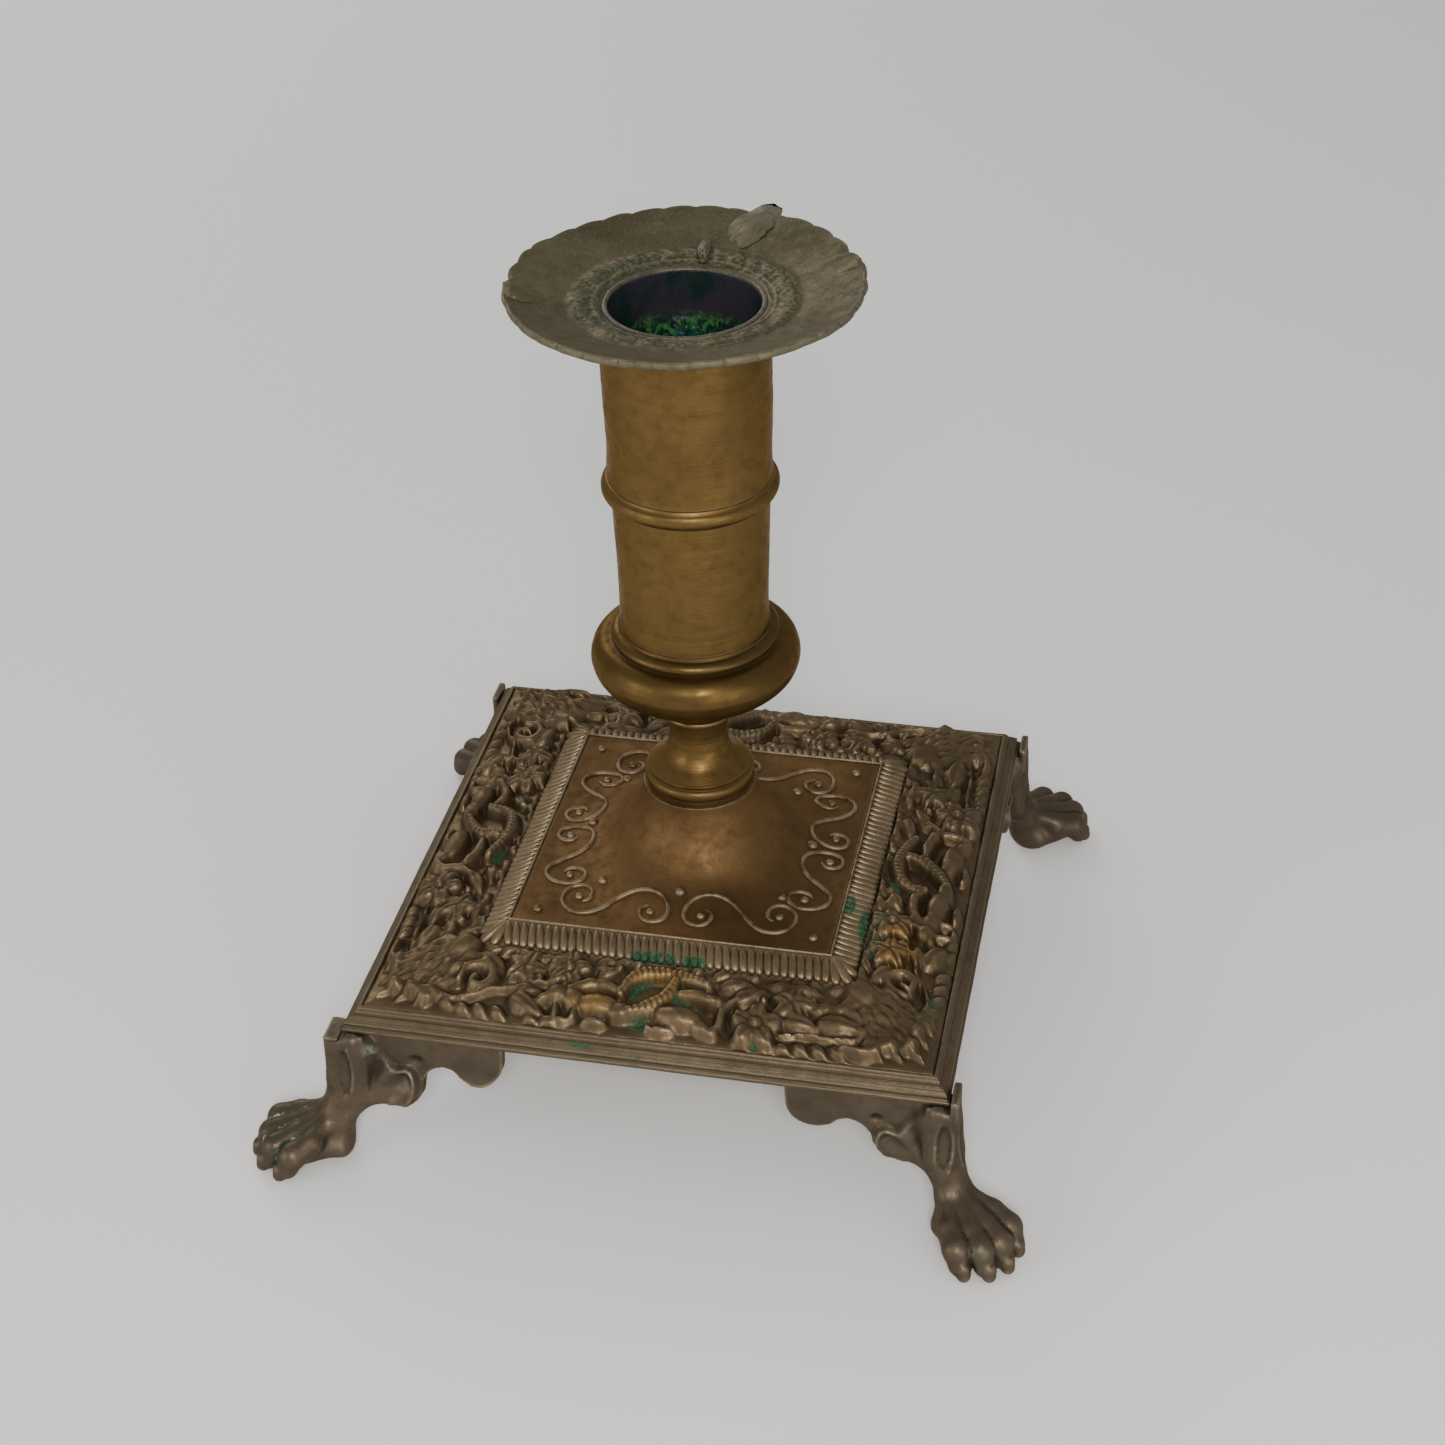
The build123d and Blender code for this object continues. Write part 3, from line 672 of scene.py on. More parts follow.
    mesh = turned("pan_nozzle", finer(outline, 0.35), 400, crusted)
    co = vertices_mm(mesh)
    in_bore = np.hypot(co[:, 0], co[:, 1]) < SLEEVE - 0.15
    set_attribute(mesh, "depth", np.where(in_bore, top - co[:, 2], 0.0))
    place("pan_nozzle", mesh, nozzle_material(), PAN, ["pan_nozzle"])


def nozzle_material():
    """Tarnished lip, the sleeve's glossy inside coloured near-black as painted shade, green and teal crystals
    further down.
    """
    material, tree, shader = new_material("nozzle_patina_and_painted_shade")
    coords = node(tree, "ShaderNodeTexCoord").outputs["Object"]
    depth = attribute(tree, "depth")
    broad = clouds(tree, coords, 160, 4, 0.6)
    fine = clouds(tree, coords, 700, 5, 0.65, twist=0.6)
    speck = clouds(tree, coords, 1500, 3, 0.6)
    lip = blended(tree, ranged(tree, fine, 0.35, 0.7), (0.06, 0.05, 0.032, 1), (0.13, 0.115, 0.08, 1))
    # painted shade: just below the lip the sleeve's inside is coloured near-black, where it lies in shade
    throat_painted_shade = blended(tree, ranged(tree, broad, 0.35, 0.65), (0.03, 0.026, 0.036, 1), (0.008, 0.02, 0.018, 1))
    crystals = blended(tree, ranged(tree, broad, 0.42, 0.58), (0.035, 0.15, 0.03, 1), (0.004, 0.06, 0.05, 1))
    crystals = blended(tree, ranged(tree, speck, 0.6, 0.7), crystals, (0.24, 0.36, 0.26, 1))
    crystals = blended(tree, ranged(tree, fine, 0.56, 0.44), crystals, (0.003, 0.018, 0.014, 1))
    colour = blended(tree, ranged(tree, depth, 0.45, 1.1), lip, throat_painted_shade)
    colour = blended(tree, ranged(tree, depth, 6.6, 9.8), colour, crystals)
    metallic = ranged(tree, depth, 0.4, 1.2, 0.5, 0.1)
    rough = times(tree, ranged(tree, depth, 0.4, 1.5, 0.5, 0.2), ranged(tree, depth, 6, 9, 0, 0.2), "ADD")
    feed(tree, shader, colour, metallic, rough, fine, 0.4, 0.0005)
    return material


# ---- domed panel with scrolls -------------------------------------------------------------

BELL = [(9.2, 17.8), (9.45, 16.2), (10.0, 14.4), (11.0, 12.2), (12.4, 10.2), (14.4, 8.0), (17.0, 6.4),
        (20.5, 5.35), (24.2, 4.8)]
# one scroll of the panel: distance along the side from its middle, distance out from the stem
SCROLL = [(4.6, 19.3), (5.6, 20.1), (5.4, 21.7), (4.0, 22.7), (2.1, 22.3), (1.2, 20.8), (1.5, 18.9),
          (2.8, 17.2), (4.9, 16.4), (7.3, 16.6), (9.6, 18.0), (11.8, 20.4), (14.2, 22.1), (16.6, 22.1),
          (18.4, 20.6), (18.9, 18.2), (17.8, 16.0), (15.8, 15.6), (14.4, 16.9), (14.5, 18.6), (15.5, 19.4)]
SCROLL_BOSSES = [(4.0, 20.6), (16.3, 18.2)]
SIDE_SQUEEZE, SIDE_SHIFT = 0.82, 1.2      # the left and right sides' scrolls are shorter and lie further out


def panel_height(x, y):
    """Height of the bell and its flat border above the floor."""
    profile = curve_through(BELL, 90)
    return TRAY_Z + np.interp(np.hypot(x, y), profile[:, 0], profile[:, 1], right=PANEL_TOP)


def sided(along, out, side):
    """Point on one of the four sides of the base, seen from outside, in plan."""
    x, y = along, -out
    for _ in range(side):
        x, y = -y, x
    return x, y


def cord_tree(tree, inputs):
    """Round cord along each line of the mesh, thinner at its ends."""
    curve = node(tree, "GeometryNodeMeshToCurve", {0: inputs["Geometry"]}).outputs[0]
    spot = node(tree, "GeometryNodeSplineParameter").outputs["Factor"]
    near_end = times(tree, times(tree, spot, times(tree, 1.0, spot, "SUBTRACT")), 24.0)
    thick = ranged(tree, near_end, 0.0, 1.0, 0.55, 1.0)
    curve = node(tree, "GeometryNodeSetCurveRadius", {"Curve": curve, "Radius": thick}).outputs[0]
    ring = node(tree, "GeometryNodeCurvePrimitiveCircle", {"Resolution": 12, "Radius": inputs["Cord radius"]})
    return node(tree, "GeometryNodeCurveToMesh", {"Curve": curve, "Profile Curve": ring.outputs[0],
                                                  "Scale": thick, "Fill Caps": True}).outputs[0]


def boss_tree(tree, inputs):
    """Flattened bead on every point of the mesh, its size from the point's own scale."""
    points = node(tree, "GeometryNodeMeshToPoints", {"Mesh": inputs["Geometry"]}).outputs[0]
    bead = node(tree, "GeometryNodeMeshUVSphere",
                {"Segments": 20, "Rings": 14, "Radius": inputs["Boss radius"]})
    size = node(tree, "GeometryNodeInputNamedAttribute", {"Name": "size"}, data_type="FLOAT").outputs[0]
    scale = node(tree, "ShaderNodeCombineXYZ", {0: size, 1: size, 2: times(tree, size, 0.85)}).outputs[0]
    return node(tree, "GeometryNodeInstanceOnPoints", {"Points": points, "Instance": bead.outputs[0],
                                                       "Scale": scale}).outputs[0]


def panel_piece(sizes, colours):
    low, high = cad_mm("dome_panel")
    crown, flat, under = high[2], TRAY_Z + PANEL_TOP, low[2]
    profile = curve_through(BELL, 90)
    reach = PANEL_HALF - 0.02
    outline = [(ROD_HOLE, crown)] + [(r, TRAY_Z + z) for r, z in profile]
    outline += [(r, flat) for r in np.linspace(24.4, reach, 8)] + [(reach, under)]
    outline += [(17.2, under), (11.8, TRAY_Z + 6.4), (8.6, TRAY_Z + 10.9), (7.4, crown - 2.4),
                (ROD_HOLE, crown - 2.4)]
    outline = finer(outline, 0.5)

    def squared(r, z, a):
        edge = square_reach(reach, a)
        out = np.where(r > 24, 24 + (r - 24) / (reach - 24) * (edge - 24), r)
        x, y = out * np.cos(a), out * np.sin(a)
        ripple = 0.05 * noise(np.stack([x, y], -1), 9, 81, 2) * smooth(9.5, 13, out) * (z > under + 0.5)
        return out, z + ripple * smooth(reach * 1.42, 22, out)

    plate = turned("panel_plate", outline, 320, squared)
    brass = aged_brass("panel_brass", colours.panel, colours, mottle=0.38, wear=0.55,
                       dirt=0.8, rough=0.54, metal=0.75, grain=0.2, green=0.5)

    lines, edges, beads, bead_size = [], [], [], []
    radius = sizes.cord / MM
    scroll = curve_through(SCROLL, 150)
    rng = np.random.default_rng(91)
    for side in range(4):
        squeeze, shift = (SIDE_SQUEEZE, SIDE_SHIFT) if side % 2 else (1.0, 0.0)
        for mirror in (-1, 1):
            drift = rng.uniform(-0.25, 0.25, 2) + (0, shift)
            x, y = sided(mirror * squeeze * scroll[:, 0] + drift[0], scroll[:, 1] + drift[1], side)
            start = len(lines)
            lines += list(np.stack([x, y, panel_height(x, y) + 0.08 * radius], -1))
            edges += [(i, i + 1) for i in range(start, len(lines) - 1)]
            for along, out in SCROLL_BOSSES:
                beads.append(sided(mirror * squeeze * along + drift[0], out + drift[1], side))
                bead_size.append(0.85)
        beads.append(sided(0.0, 16.6 + 1.6 * shift, side))
        bead_size.append(1.1)
        beads.append(sided(14.6, 13.4, side) if side % 2 else sided(16.0, 13.6, side))
        bead_size.append(0.95)
        beads.append(sided(22.6, 22.2, side))
        bead_size.append(0.9)
    wire = bpy.data.meshes.new("scroll_lines")
    wire.from_pydata([tuple(p * MM) for p in lines], edges, [])
    cords = made_by("scroll_cords", cord_tree, wire, {"Cord radius": sizes.cord}, brass)
    dots = bpy.data.meshes.new("boss_points")
    dots.from_pydata([(x * MM, y * MM, float(panel_height(x, y)) * MM) for x, y in beads], [], [])
    set_attribute(dots, "size", bead_size)
    bosses = made_by("panel_bosses", boss_tree, dots, {"Boss radius": sizes.boss}, brass)
    point_outwards(cords)
    point_outwards(bosses)
    mesh = joined("dome_panel", plate, cords, bosses)
    set_attribute(mesh, "green", np.zeros(len(mesh.vertices)))
    place("dome_panel", mesh, brass, STAND, ["dome_panel"])


# ---- gadrooned band -----------------------------------------------------------------------

def mitred_mesh(name, outline, divisions):
    """Square frame: a closed (distance from the middle, height) outline along four mitred sides."""
    def squared(r, z, a):
        return square_reach(r, a), z
    return turned(name, outline, divisions, squared)


def gadroon_tree(tree, inputs):
    """Lobes in a row along one side, each turned by the slant and tipped to the band's slope."""
    count = inputs["Lobes"]
    half = inputs["Half length"]
    start = node(tree, "ShaderNodeCombineXYZ", {0: times(tree, half, -1.0), 1: inputs["Across"],
                                                2: inputs["Height"]}).outputs[0]
    gap = times(tree, times(tree, half, 2.0), times(tree, count, 1.0, "SUBTRACT"), "DIVIDE")
    step = node(tree, "ShaderNodeCombineXYZ", {0: gap, 1: 0.0, 2: 0.0}).outputs[0]
    line = node(tree, "GeometryNodeMeshLine",
                {"Count": count, "Start Location": start, "Offset": step}).outputs[0]
    wander = node(tree, "FunctionNodeRandomValue", {2: -0.06, 3: 0.06, 8: 7}, data_type="FLOAT").outputs[1]
    turn = node(tree, "ShaderNodeCombineXYZ", {0: inputs["Slope"], 1: 0.0,
                                               2: times(tree, inputs["Slant"], wander, "ADD")}).outputs[0]
    return node(tree, "GeometryNodeInstanceOnPoints", {"Points": line, "Instance": inputs["Geometry"],
                                                       "Rotation": turn}).outputs[0]


def lobe_mesh(length, width, rise):
    """Teardrop reed, fuller and rounder at its outer end, in metres round its own middle."""
    rings, around = 14, 14
    t = np.linspace(0.015, 0.985, rings)
    swell = np.sin(np.pi * t) ** 0.35 * (0.7 + 0.35 * t)
    a = np.linspace(0, 2 * np.pi, around, endpoint=False)
    y = -(t - 0.5) * length
    points = np.stack([np.outer(swell, np.cos(a)) * width / 2, np.repeat(y[:, None], around, 1),
                       np.outer(swell, np.sin(a)) * rise], -1).reshape(-1, 3)
    quads = [tuple(q) for q in quads_of_grid(rings, around, False, True)]
    caps = [tuple(range(around)), tuple(range((rings - 1) * around, rings * around))]
    mesh = bpy.data.meshes.new("lobe")
    mesh.from_pydata([tuple(p * MM) for p in points], [], quads + caps)
    point_outwards(mesh)
    return mesh


def gadroon_piece(sizes, colours):
    low, high = cad_mm("gadroon_frame")
    inner, outer, foot = PANEL_HALF, high[0], low[2]
    panel_under = cad_mm("dome_panel")[0][2]
    outline = [(outer, foot), (outer, TRAY_Z + 2.3), (outer - 0.6, TRAY_Z + 2.75)]
    outline += shifted(inner, TRAY_Z, [(0.6, 4.6), (0.5, 5.05), (0.38, 5.2), (0.25, 5.2), (0.06, 5.0)])
    outline += [(inner + 0.05, panel_under), (LEDGE, panel_under), (LEDGE, foot)]
    bed = mitred_mesh("gadroon_bed", finer(eased_line(outline), 0.5), 480)
    brass = aged_brass("gadroon_brass", [c * 1.3 for c in colours.border], colours,
                       mottle=0.3, wear=0.5, dirt=0.55, rough=0.42, metal=0.72, grain=0.22, green=1.1)
    length = math.hypot(outer - inner - 0.3, 1.9)
    half, slope = inner - 0.1, math.atan2(1.9, 4.0)
    pitch = 2 * half / (sizes.lobes - 1)
    lobe = lobe_mesh(length, pitch * 1.34, sizes.rise / MM)
    middle = (outer + inner + 0.4) / 2
    fan = []
    for degrees, stretch in ((20, 1.05), (45, 1.25), (70, 1.05)):       # reeds spread round the corner
        turn = math.radians(degrees)
        reach = inner + 0.5
        away = length * stretch * 0.47
        at = Vector((reach + away * math.sin(turn), -reach - away * math.cos(turn), TRAY_Z + 3.7)) * MM
        reed = lobe.copy()
        reed.transform(Matrix.Translation(at) @ Matrix.Rotation(turn, 4, "Z") @ Matrix.Rotation(slope, 4, "X")
                       @ Matrix.Diagonal((1.1, stretch, 1, 1)))
        fan.append(reed)
    values = {"Lobes": sizes.lobes, "Half length": half * MM, "Across": -middle * MM,
              "Height": (TRAY_Z + 3.75) * MM, "Slope": slope, "Slant": sizes.slant}
    row = joined("gadroon_row", made_by("gadroon_lobes", gadroon_tree, lobe, values, brass), *fan)
    rows = [turned_about_z(row, side) for side in range(4)]
    mesh = joined("gadroon_frame", bed, *rows)
    x, y, _ = vertices_mm(mesh).T
    set_attribute(mesh, "green", green_spots(x, y, [(-1.5, -29.9, 5.0, 1.1), (4.5, -29.9, 3.2, 1.0),
                                                    (30.0, -16, 1.2, 5), (27.0, -13, 1.0, 3)]))
    place("gadroon_frame", mesh, brass, STAND, ["gadroon_frame"], sharp=60)


def green_spots(x, y, spots):
    """Corroded patches in plan, each (x, y, reach along x, reach along y)."""
    total = np.zeros_like(x)
    for at_x, at_y, wide, deep in spots:
        total = np.maximum(total, smooth(1.25, 0.5, np.hypot((x - at_x) / wide, (y - at_y) / deep)))
    return total


# ---- relief border ------------------------------------------------------------------------

def leaf(x, y, at, angle, length, width, height, curl=0.0, veins=0, rib=0.42):
    """Pointed leaf from its stalk at a point; curl bends it sideways."""
    u, v = local(x, y, at, angle)
    v = v - curl * (u / length) ** 2 * length
    t = np.clip(u / length, 0, 1)
    half = width / 2 * np.sin(np.pi * t ** 0.75) ** 0.8 * (1 - 0.25 * t) + 1e-6
    across = v / half
    body = np.clip(1 - across**2, 0, None) ** 0.55
    groove = rib * hump(v, 0, 0.28)
    fold = body * (0.55 + 0.45 * np.sin(np.pi * np.clip(t, 0.05, 0.95)))
    if veins:
        fold = fold * (0.86 + 0.14 * np.cos((u + np.abs(v) * 0.9) * 2 * np.pi * veins / length))
    return np.where((u > 0) & (u < length) & (np.abs(across) < 1), height * (fold - groove * body * 0.8), -1)


def vine_leaf(x, y, at, angle, radius, height, lobes=5):
    """Five-pointed leaf with a rib along each point."""
    u, v = local(x, y, at, angle)
    rho, phi = np.hypot(u, v), np.arctan2(v, u)
    wedge = np.mod(phi + np.pi / lobes, 2 * np.pi / lobes) - np.pi / lobes
    edge = radius * (0.6 + 0.4 * np.cos(wedge * lobes / 2) ** 2 * (1 - 0.35 * (np.abs(phi) > 2.4)))
    inside = 1 - (rho / edge) ** 2
    body = np.clip(inside, 0, None) ** 0.5
    rib = np.exp(-(rho * np.sin(wedge) / 0.2) ** 2) * 0.35 * smooth(0, 0.3, inside)
    return np.where(inside > 0, height * (0.45 + 0.55 * body - rib), -1)


def blossom(x, y, at, angle, radius, height, petals=5):
    """Flower of round petals about a bead."""
    u, v = local(x, y, at, angle)
    rho, phi = np.hypot(u, v), np.arctan2(v, u)
    wedge = np.mod(phi + np.pi / petals, 2 * np.pi / petals) - np.pi / petals
    pu, pv = rho * np.cos(wedge) - radius * 0.58, rho * np.sin(wedge)
    inside = 1 - (pu / (radius * 0.46)) ** 2 - (pv / (radius * 0.4)) ** 2
    body = np.clip(inside, 0, None) ** 0.5
    crease = 0.3 * hump(pv, 0, 0.16)
    petal_height = np.where(inside > 0, height * (0.4 + 0.6 * body - crease * body), -1)
    bead = 1 - (rho / (radius * 0.24)) ** 2
    bead_height = height * (0.55 + 0.6 * np.sqrt(np.clip(bead, 0, None)))
    return np.maximum(petal_height, np.where(bead > 0, bead_height, -1))


def lump(x, y, at, angle, length, width, height, lift=0.35):
    """Smooth swelling, for muscles and berries."""
    u, v = local(x, y, at, angle)
    inside = 1 - (2 * u / length) ** 2 - (2 * v / width) ** 2
    return np.where(inside > 0, height * (lift + (1 - lift) * np.sqrt(np.clip(inside, 0, None))), -1)


def strand(x, y, points, thickness, height, ribs=0.0, taper=0.6):
    """Rounded strand along given points: stem, leg, tail or ribbed horn."""
    line = curve_through(points, 40)
    best, along = np.full(x.shape, 1e9), np.zeros(x.shape)
    total = 0.0
    for a, b in zip(line, line[1:]):
        step = b - a
        size = np.hypot(*step)
        t = np.clip(((x - a[0]) * step[0] + (y - a[1]) * step[1]) / size**2, 0, 1)
        away = np.hypot(x - a[0] - t * step[0], y - a[1] - t * step[1])
        closer = away < best
        best = np.where(closer, away, best)
        along = np.where(closer, total + t * size, along)
        total += size
    ends = np.clip(np.minimum(along, total - along) / (0.3 * total), 0, 1)
    half = thickness / 2 * (1 - taper + taper * ends)
    inside = 1 - (best / half) ** 2
    body = np.sqrt(np.clip(inside, 0, None))
    if ribs:
        body = body * (0.66 + 0.34 * np.abs(np.cos(np.pi * along / ribs)))
    return np.where(inside > 0, height * (0.35 + 0.65 * body), -1)


def corner_acanthus(x, y):
    """Leaves fanned about the mitre, their tips rolled over, and a small curl on each side."""
    made = [lump(x, y, (32.0, -32.0), math.radians(-45), 6.4, 4.4, 2.9)]
    for degrees, length, curl in ((-12, 14.6, -0.24), (-29, 16.2, -0.12), (-45, 18.0, 0.0), (-61, 16.2, 0.12),
                                  (-78, 14.6, 0.24)):
        turn = math.radians(degrees)
        made.append(leaf(x, y, (30.4, -30.4), turn, length, 5.9, 2.5, curl=curl, veins=4, rib=0.3))
        tip = (30.4 + 0.82 * length * (math.cos(turn) - 0.7 * curl * math.sin(turn)),
               -30.4 + 0.82 * length * (math.sin(turn) + 0.7 * curl * math.cos(turn)))
        made.append(lump(x, y, tip, turn + math.pi / 2, 3.4, 2.0, 2.4))
    curl = [(30.6, -43.2), (33.6, -43.4), (36.2, -42.2), (36.6, -39.9), (34.8, -38.6), (33.4, -40.0)]
    for points in (curl, [(-across, -along) for along, across in curl]):
        made.append(strand(x, y, points, 1.7, 2.2, taper=0.5))
    return np.maximum.reduce(made)


def side_pattern(x, y):
    """Relief of the front side, in plan: two beasts and crossing ribbed horns between blossoms and vines."""
    def bent(points, thickness, height, ribs=0.0, taper=0.3):
        return strand(x, y, [(along, -out) for along, out in points], thickness, height, ribs, taper)

    def swell(along, out, degrees, length, width, height):
        return lump(x, y, (along, -out), math.radians(degrees), length, width, height)

    def blade(along, out, degrees, length, width, height, curl=0.0, veins=0, rib=0.42):
        return leaf(x, y, (along, -out), math.radians(degrees), length, width, height, curl, veins, rib)

    parts = [
        # crossing ribbed horns
        bent([(-5.0, 38.0), (-4.2, 35.4), (-2.4, 33.6), (1.5, 32.8), (5.6, 33.6), (8.4, 34.8)], 2.5, 2.7,
             ribs=0.95),
        bent([(-2.6, 41.4), (0.0, 39.8), (2.3, 37.2), (3.0, 34.6)], 2.7, 3.1, ribs=0.95),
        # beast on the left, facing left
        swell(-15.0, 39.5, 20, 3.8, 3.2, 2.9), swell(-16.9, 40.5, 35, 2.6, 1.7, 2.4),
        blade(-14.4, 38.9, 60, 2.6, 1.5, 3.0), swell(-11.9, 39.9, -10, 4.4, 3.4, 2.5),
        swell(-8.0, 40.5, -3, 7.6, 3.8, 2.9), swell(-4.2, 41.2, 5, 5.0, 3.2, 2.5),
        bent([(-12.8, 38.4), (-10.0, 36.8), (-7.0, 36.7), (-5.2, 37.8)], 2.2, 2.3),
        bent([(-14.7, 41.0), (-14.4, 43.3)], 1.3, 1.8), bent([(-11.4, 41.0), (-11.6, 43.2)], 1.4, 1.8),
        swell(-8.0, 43.5, 0, 4.4, 1.7, 1.8), swell(-13.2, 43.7, 0, 2.8, 1.2, 1.4),
        # beast on the right, its back to the horns
        swell(4.8, 41.2, -6, 8.2, 3.8, 2.9), swell(8.6, 42.4, -25, 4.0, 2.3, 2.3),
        bent([(4.4, 36.8), (7.4, 36.9), (10.6, 38.0)], 2.4, 2.5), swell(9.4, 37.6, -20, 3.4, 2.4, 2.7),
        swell(2.6, 43.6, 5, 4.6, 1.4, 1.6),
        bent([(13.2, 36.2), (11.4, 38.8), (11.2, 41.6), (10.0, 43.2)], 1.7, 2.1),
        swell(10.3, 43.0, 10, 2.6, 1.9, 2.1),
        # blossoms
        blossom(x, y, (-14.1, -34.1), math.radians(84), 3.7, 2.3),
        blossom(x, y, (16.8, -40.6), math.radians(20), 4.1, 2.6),
        # vine and leaves on the left
        blade(-24.4, 35.8, 148, 6.4, 3.9, 2.3), vine_leaf(x, y, (-21.0, -34.6), math.radians(75), 3.7, 2.2),
        bent([(-30.9, 39.0), (-30.0, 36.4), (-27.4, 35.4), (-25.7, 37.3), (-27.0, 39.4), (-28.9, 38.8),
              (-28.3, 37.4)], 1.9, 2.2, taper=0.5),
        bent([(-34.0, 40.8), (-31.2, 41.9), (-27.8, 41.2), (-25.0, 39.4), (-21.8, 38.9), (-18.8, 37.2),
              (-16.6, 36.9)], 0.9, 1.6),
        blade(-22.4, 40.2, -25, 7.0, 4.2, 2.3), blade(-22.0, 39.2, 6, 5.2, 2.4, 2.2),
        blade(-9.6, 34.8, 30, 5.0, 2.4, 1.9), blade(-10.6, 33.0, 0, 5.4, 2.0, 1.6),
        blade(-17.6, 32.2, 170, 6.0, 2.0, 1.6), blade(-32.8, 34.0, 95, 4.4, 2.8, 2.0),
        # leaves on the right
        blade(12.2, 36.4, 30, 6.4, 3.4, 2.1), blade(9.6, 33.6, 12, 6.0, 2.6, 1.8),
        vine_leaf(x, y, (21.6, -35.8), math.radians(-62), 3.9, 2.3), blade(19.4, 33.0, 6, 6.6, 2.6, 1.8),
        blade(34.4, 32.6, -155, 8.6, 3.8, 2.4, curl=0.12), blade(25.8, 38.2, -8, 8.4, 4.6, 2.5, rib=0.3),
        blade(20.4, 38.4, -12, 6.4, 3.6, 2.2), blade(24.4, 36.6, 22, 4.8, 2.6, 2.0),
        bent([(20.4, 41.6), (24.4, 41.2), (28.6, 41.3), (33.6, 40.6)], 0.8, 1.4),
    ]
    for along, out in ((-33.2, 41.6), (-30.4, 42.3), (-27.6, 42.3), (-24.8, 42.3), (-19.4, 42.9),
                       (-16.6, 43.0), (13.4, 42.8), (20.4, 43.0), (23.0, 42.6), (25.8, 42.4), (28.6, 42.3),
                       (31.4, 42.1)):
        parts.append(blade(along, out, -38, 3.7, 1.9, 1.35))
    for k in range(-10, 11):                # small leaves lying against the gadroon
        odd = k % 2
        parts.append(blade(3.1 * k - 1.2, 32.3 - 0.7 * odd, 12 + 24 * (k % 3), 4.4, 1.9, 1.5 - 0.3 * odd))
    for along, out, size in ((-18.4, 36.2, 1.5), (-30.6, 33.2, 1.6), (-6.2, 32.6, 1.3), (0.4, 43.4, 1.3),
                             (13.6, 38.6, 1.4), (24.8, 34.4, 1.3), (17.2, 35.6, 1.3), (19.6, 43.8, 1.2)):
        parts.append(swell(along, out, 0, size, size, 1.9))
    return np.maximum.reduce(parts)


def relief(x, y):
    """Height of the whole border's relief above its ground, in millimetres."""
    total = np.full(x.shape, -1.0)
    for _ in range(4):
        near = (-y >= np.abs(x) - 9)
        here = np.full(x.shape, -1.0)
        side = np.where(np.abs(x[near]) < -y[near] + 1.0, side_pattern(x[near], y[near]), -1)
        here[near] = np.maximum(side, corner_acanthus(x[near], y[near]))
        total = np.maximum(total, here)
        x, y = y, -x
    return total


def worn_smooth(heights, passes):
    """Eases the heights between neighbours; the first axis runs round the border."""
    for _ in range(passes):
        heights = (np.roll(heights, 1, 0) + 2 * heights + np.roll(heights, -1, 0)) / 4
        inner = (heights[:, :-2] + 2 * heights[:, 1:-1] + heights[:, 2:]) / 4
        heights = np.concatenate([heights[:, :1], inner, heights[:, -1:]], 1)
    return heights


MOULDING_COLOUR = (0.104, 0.08, 0.05)


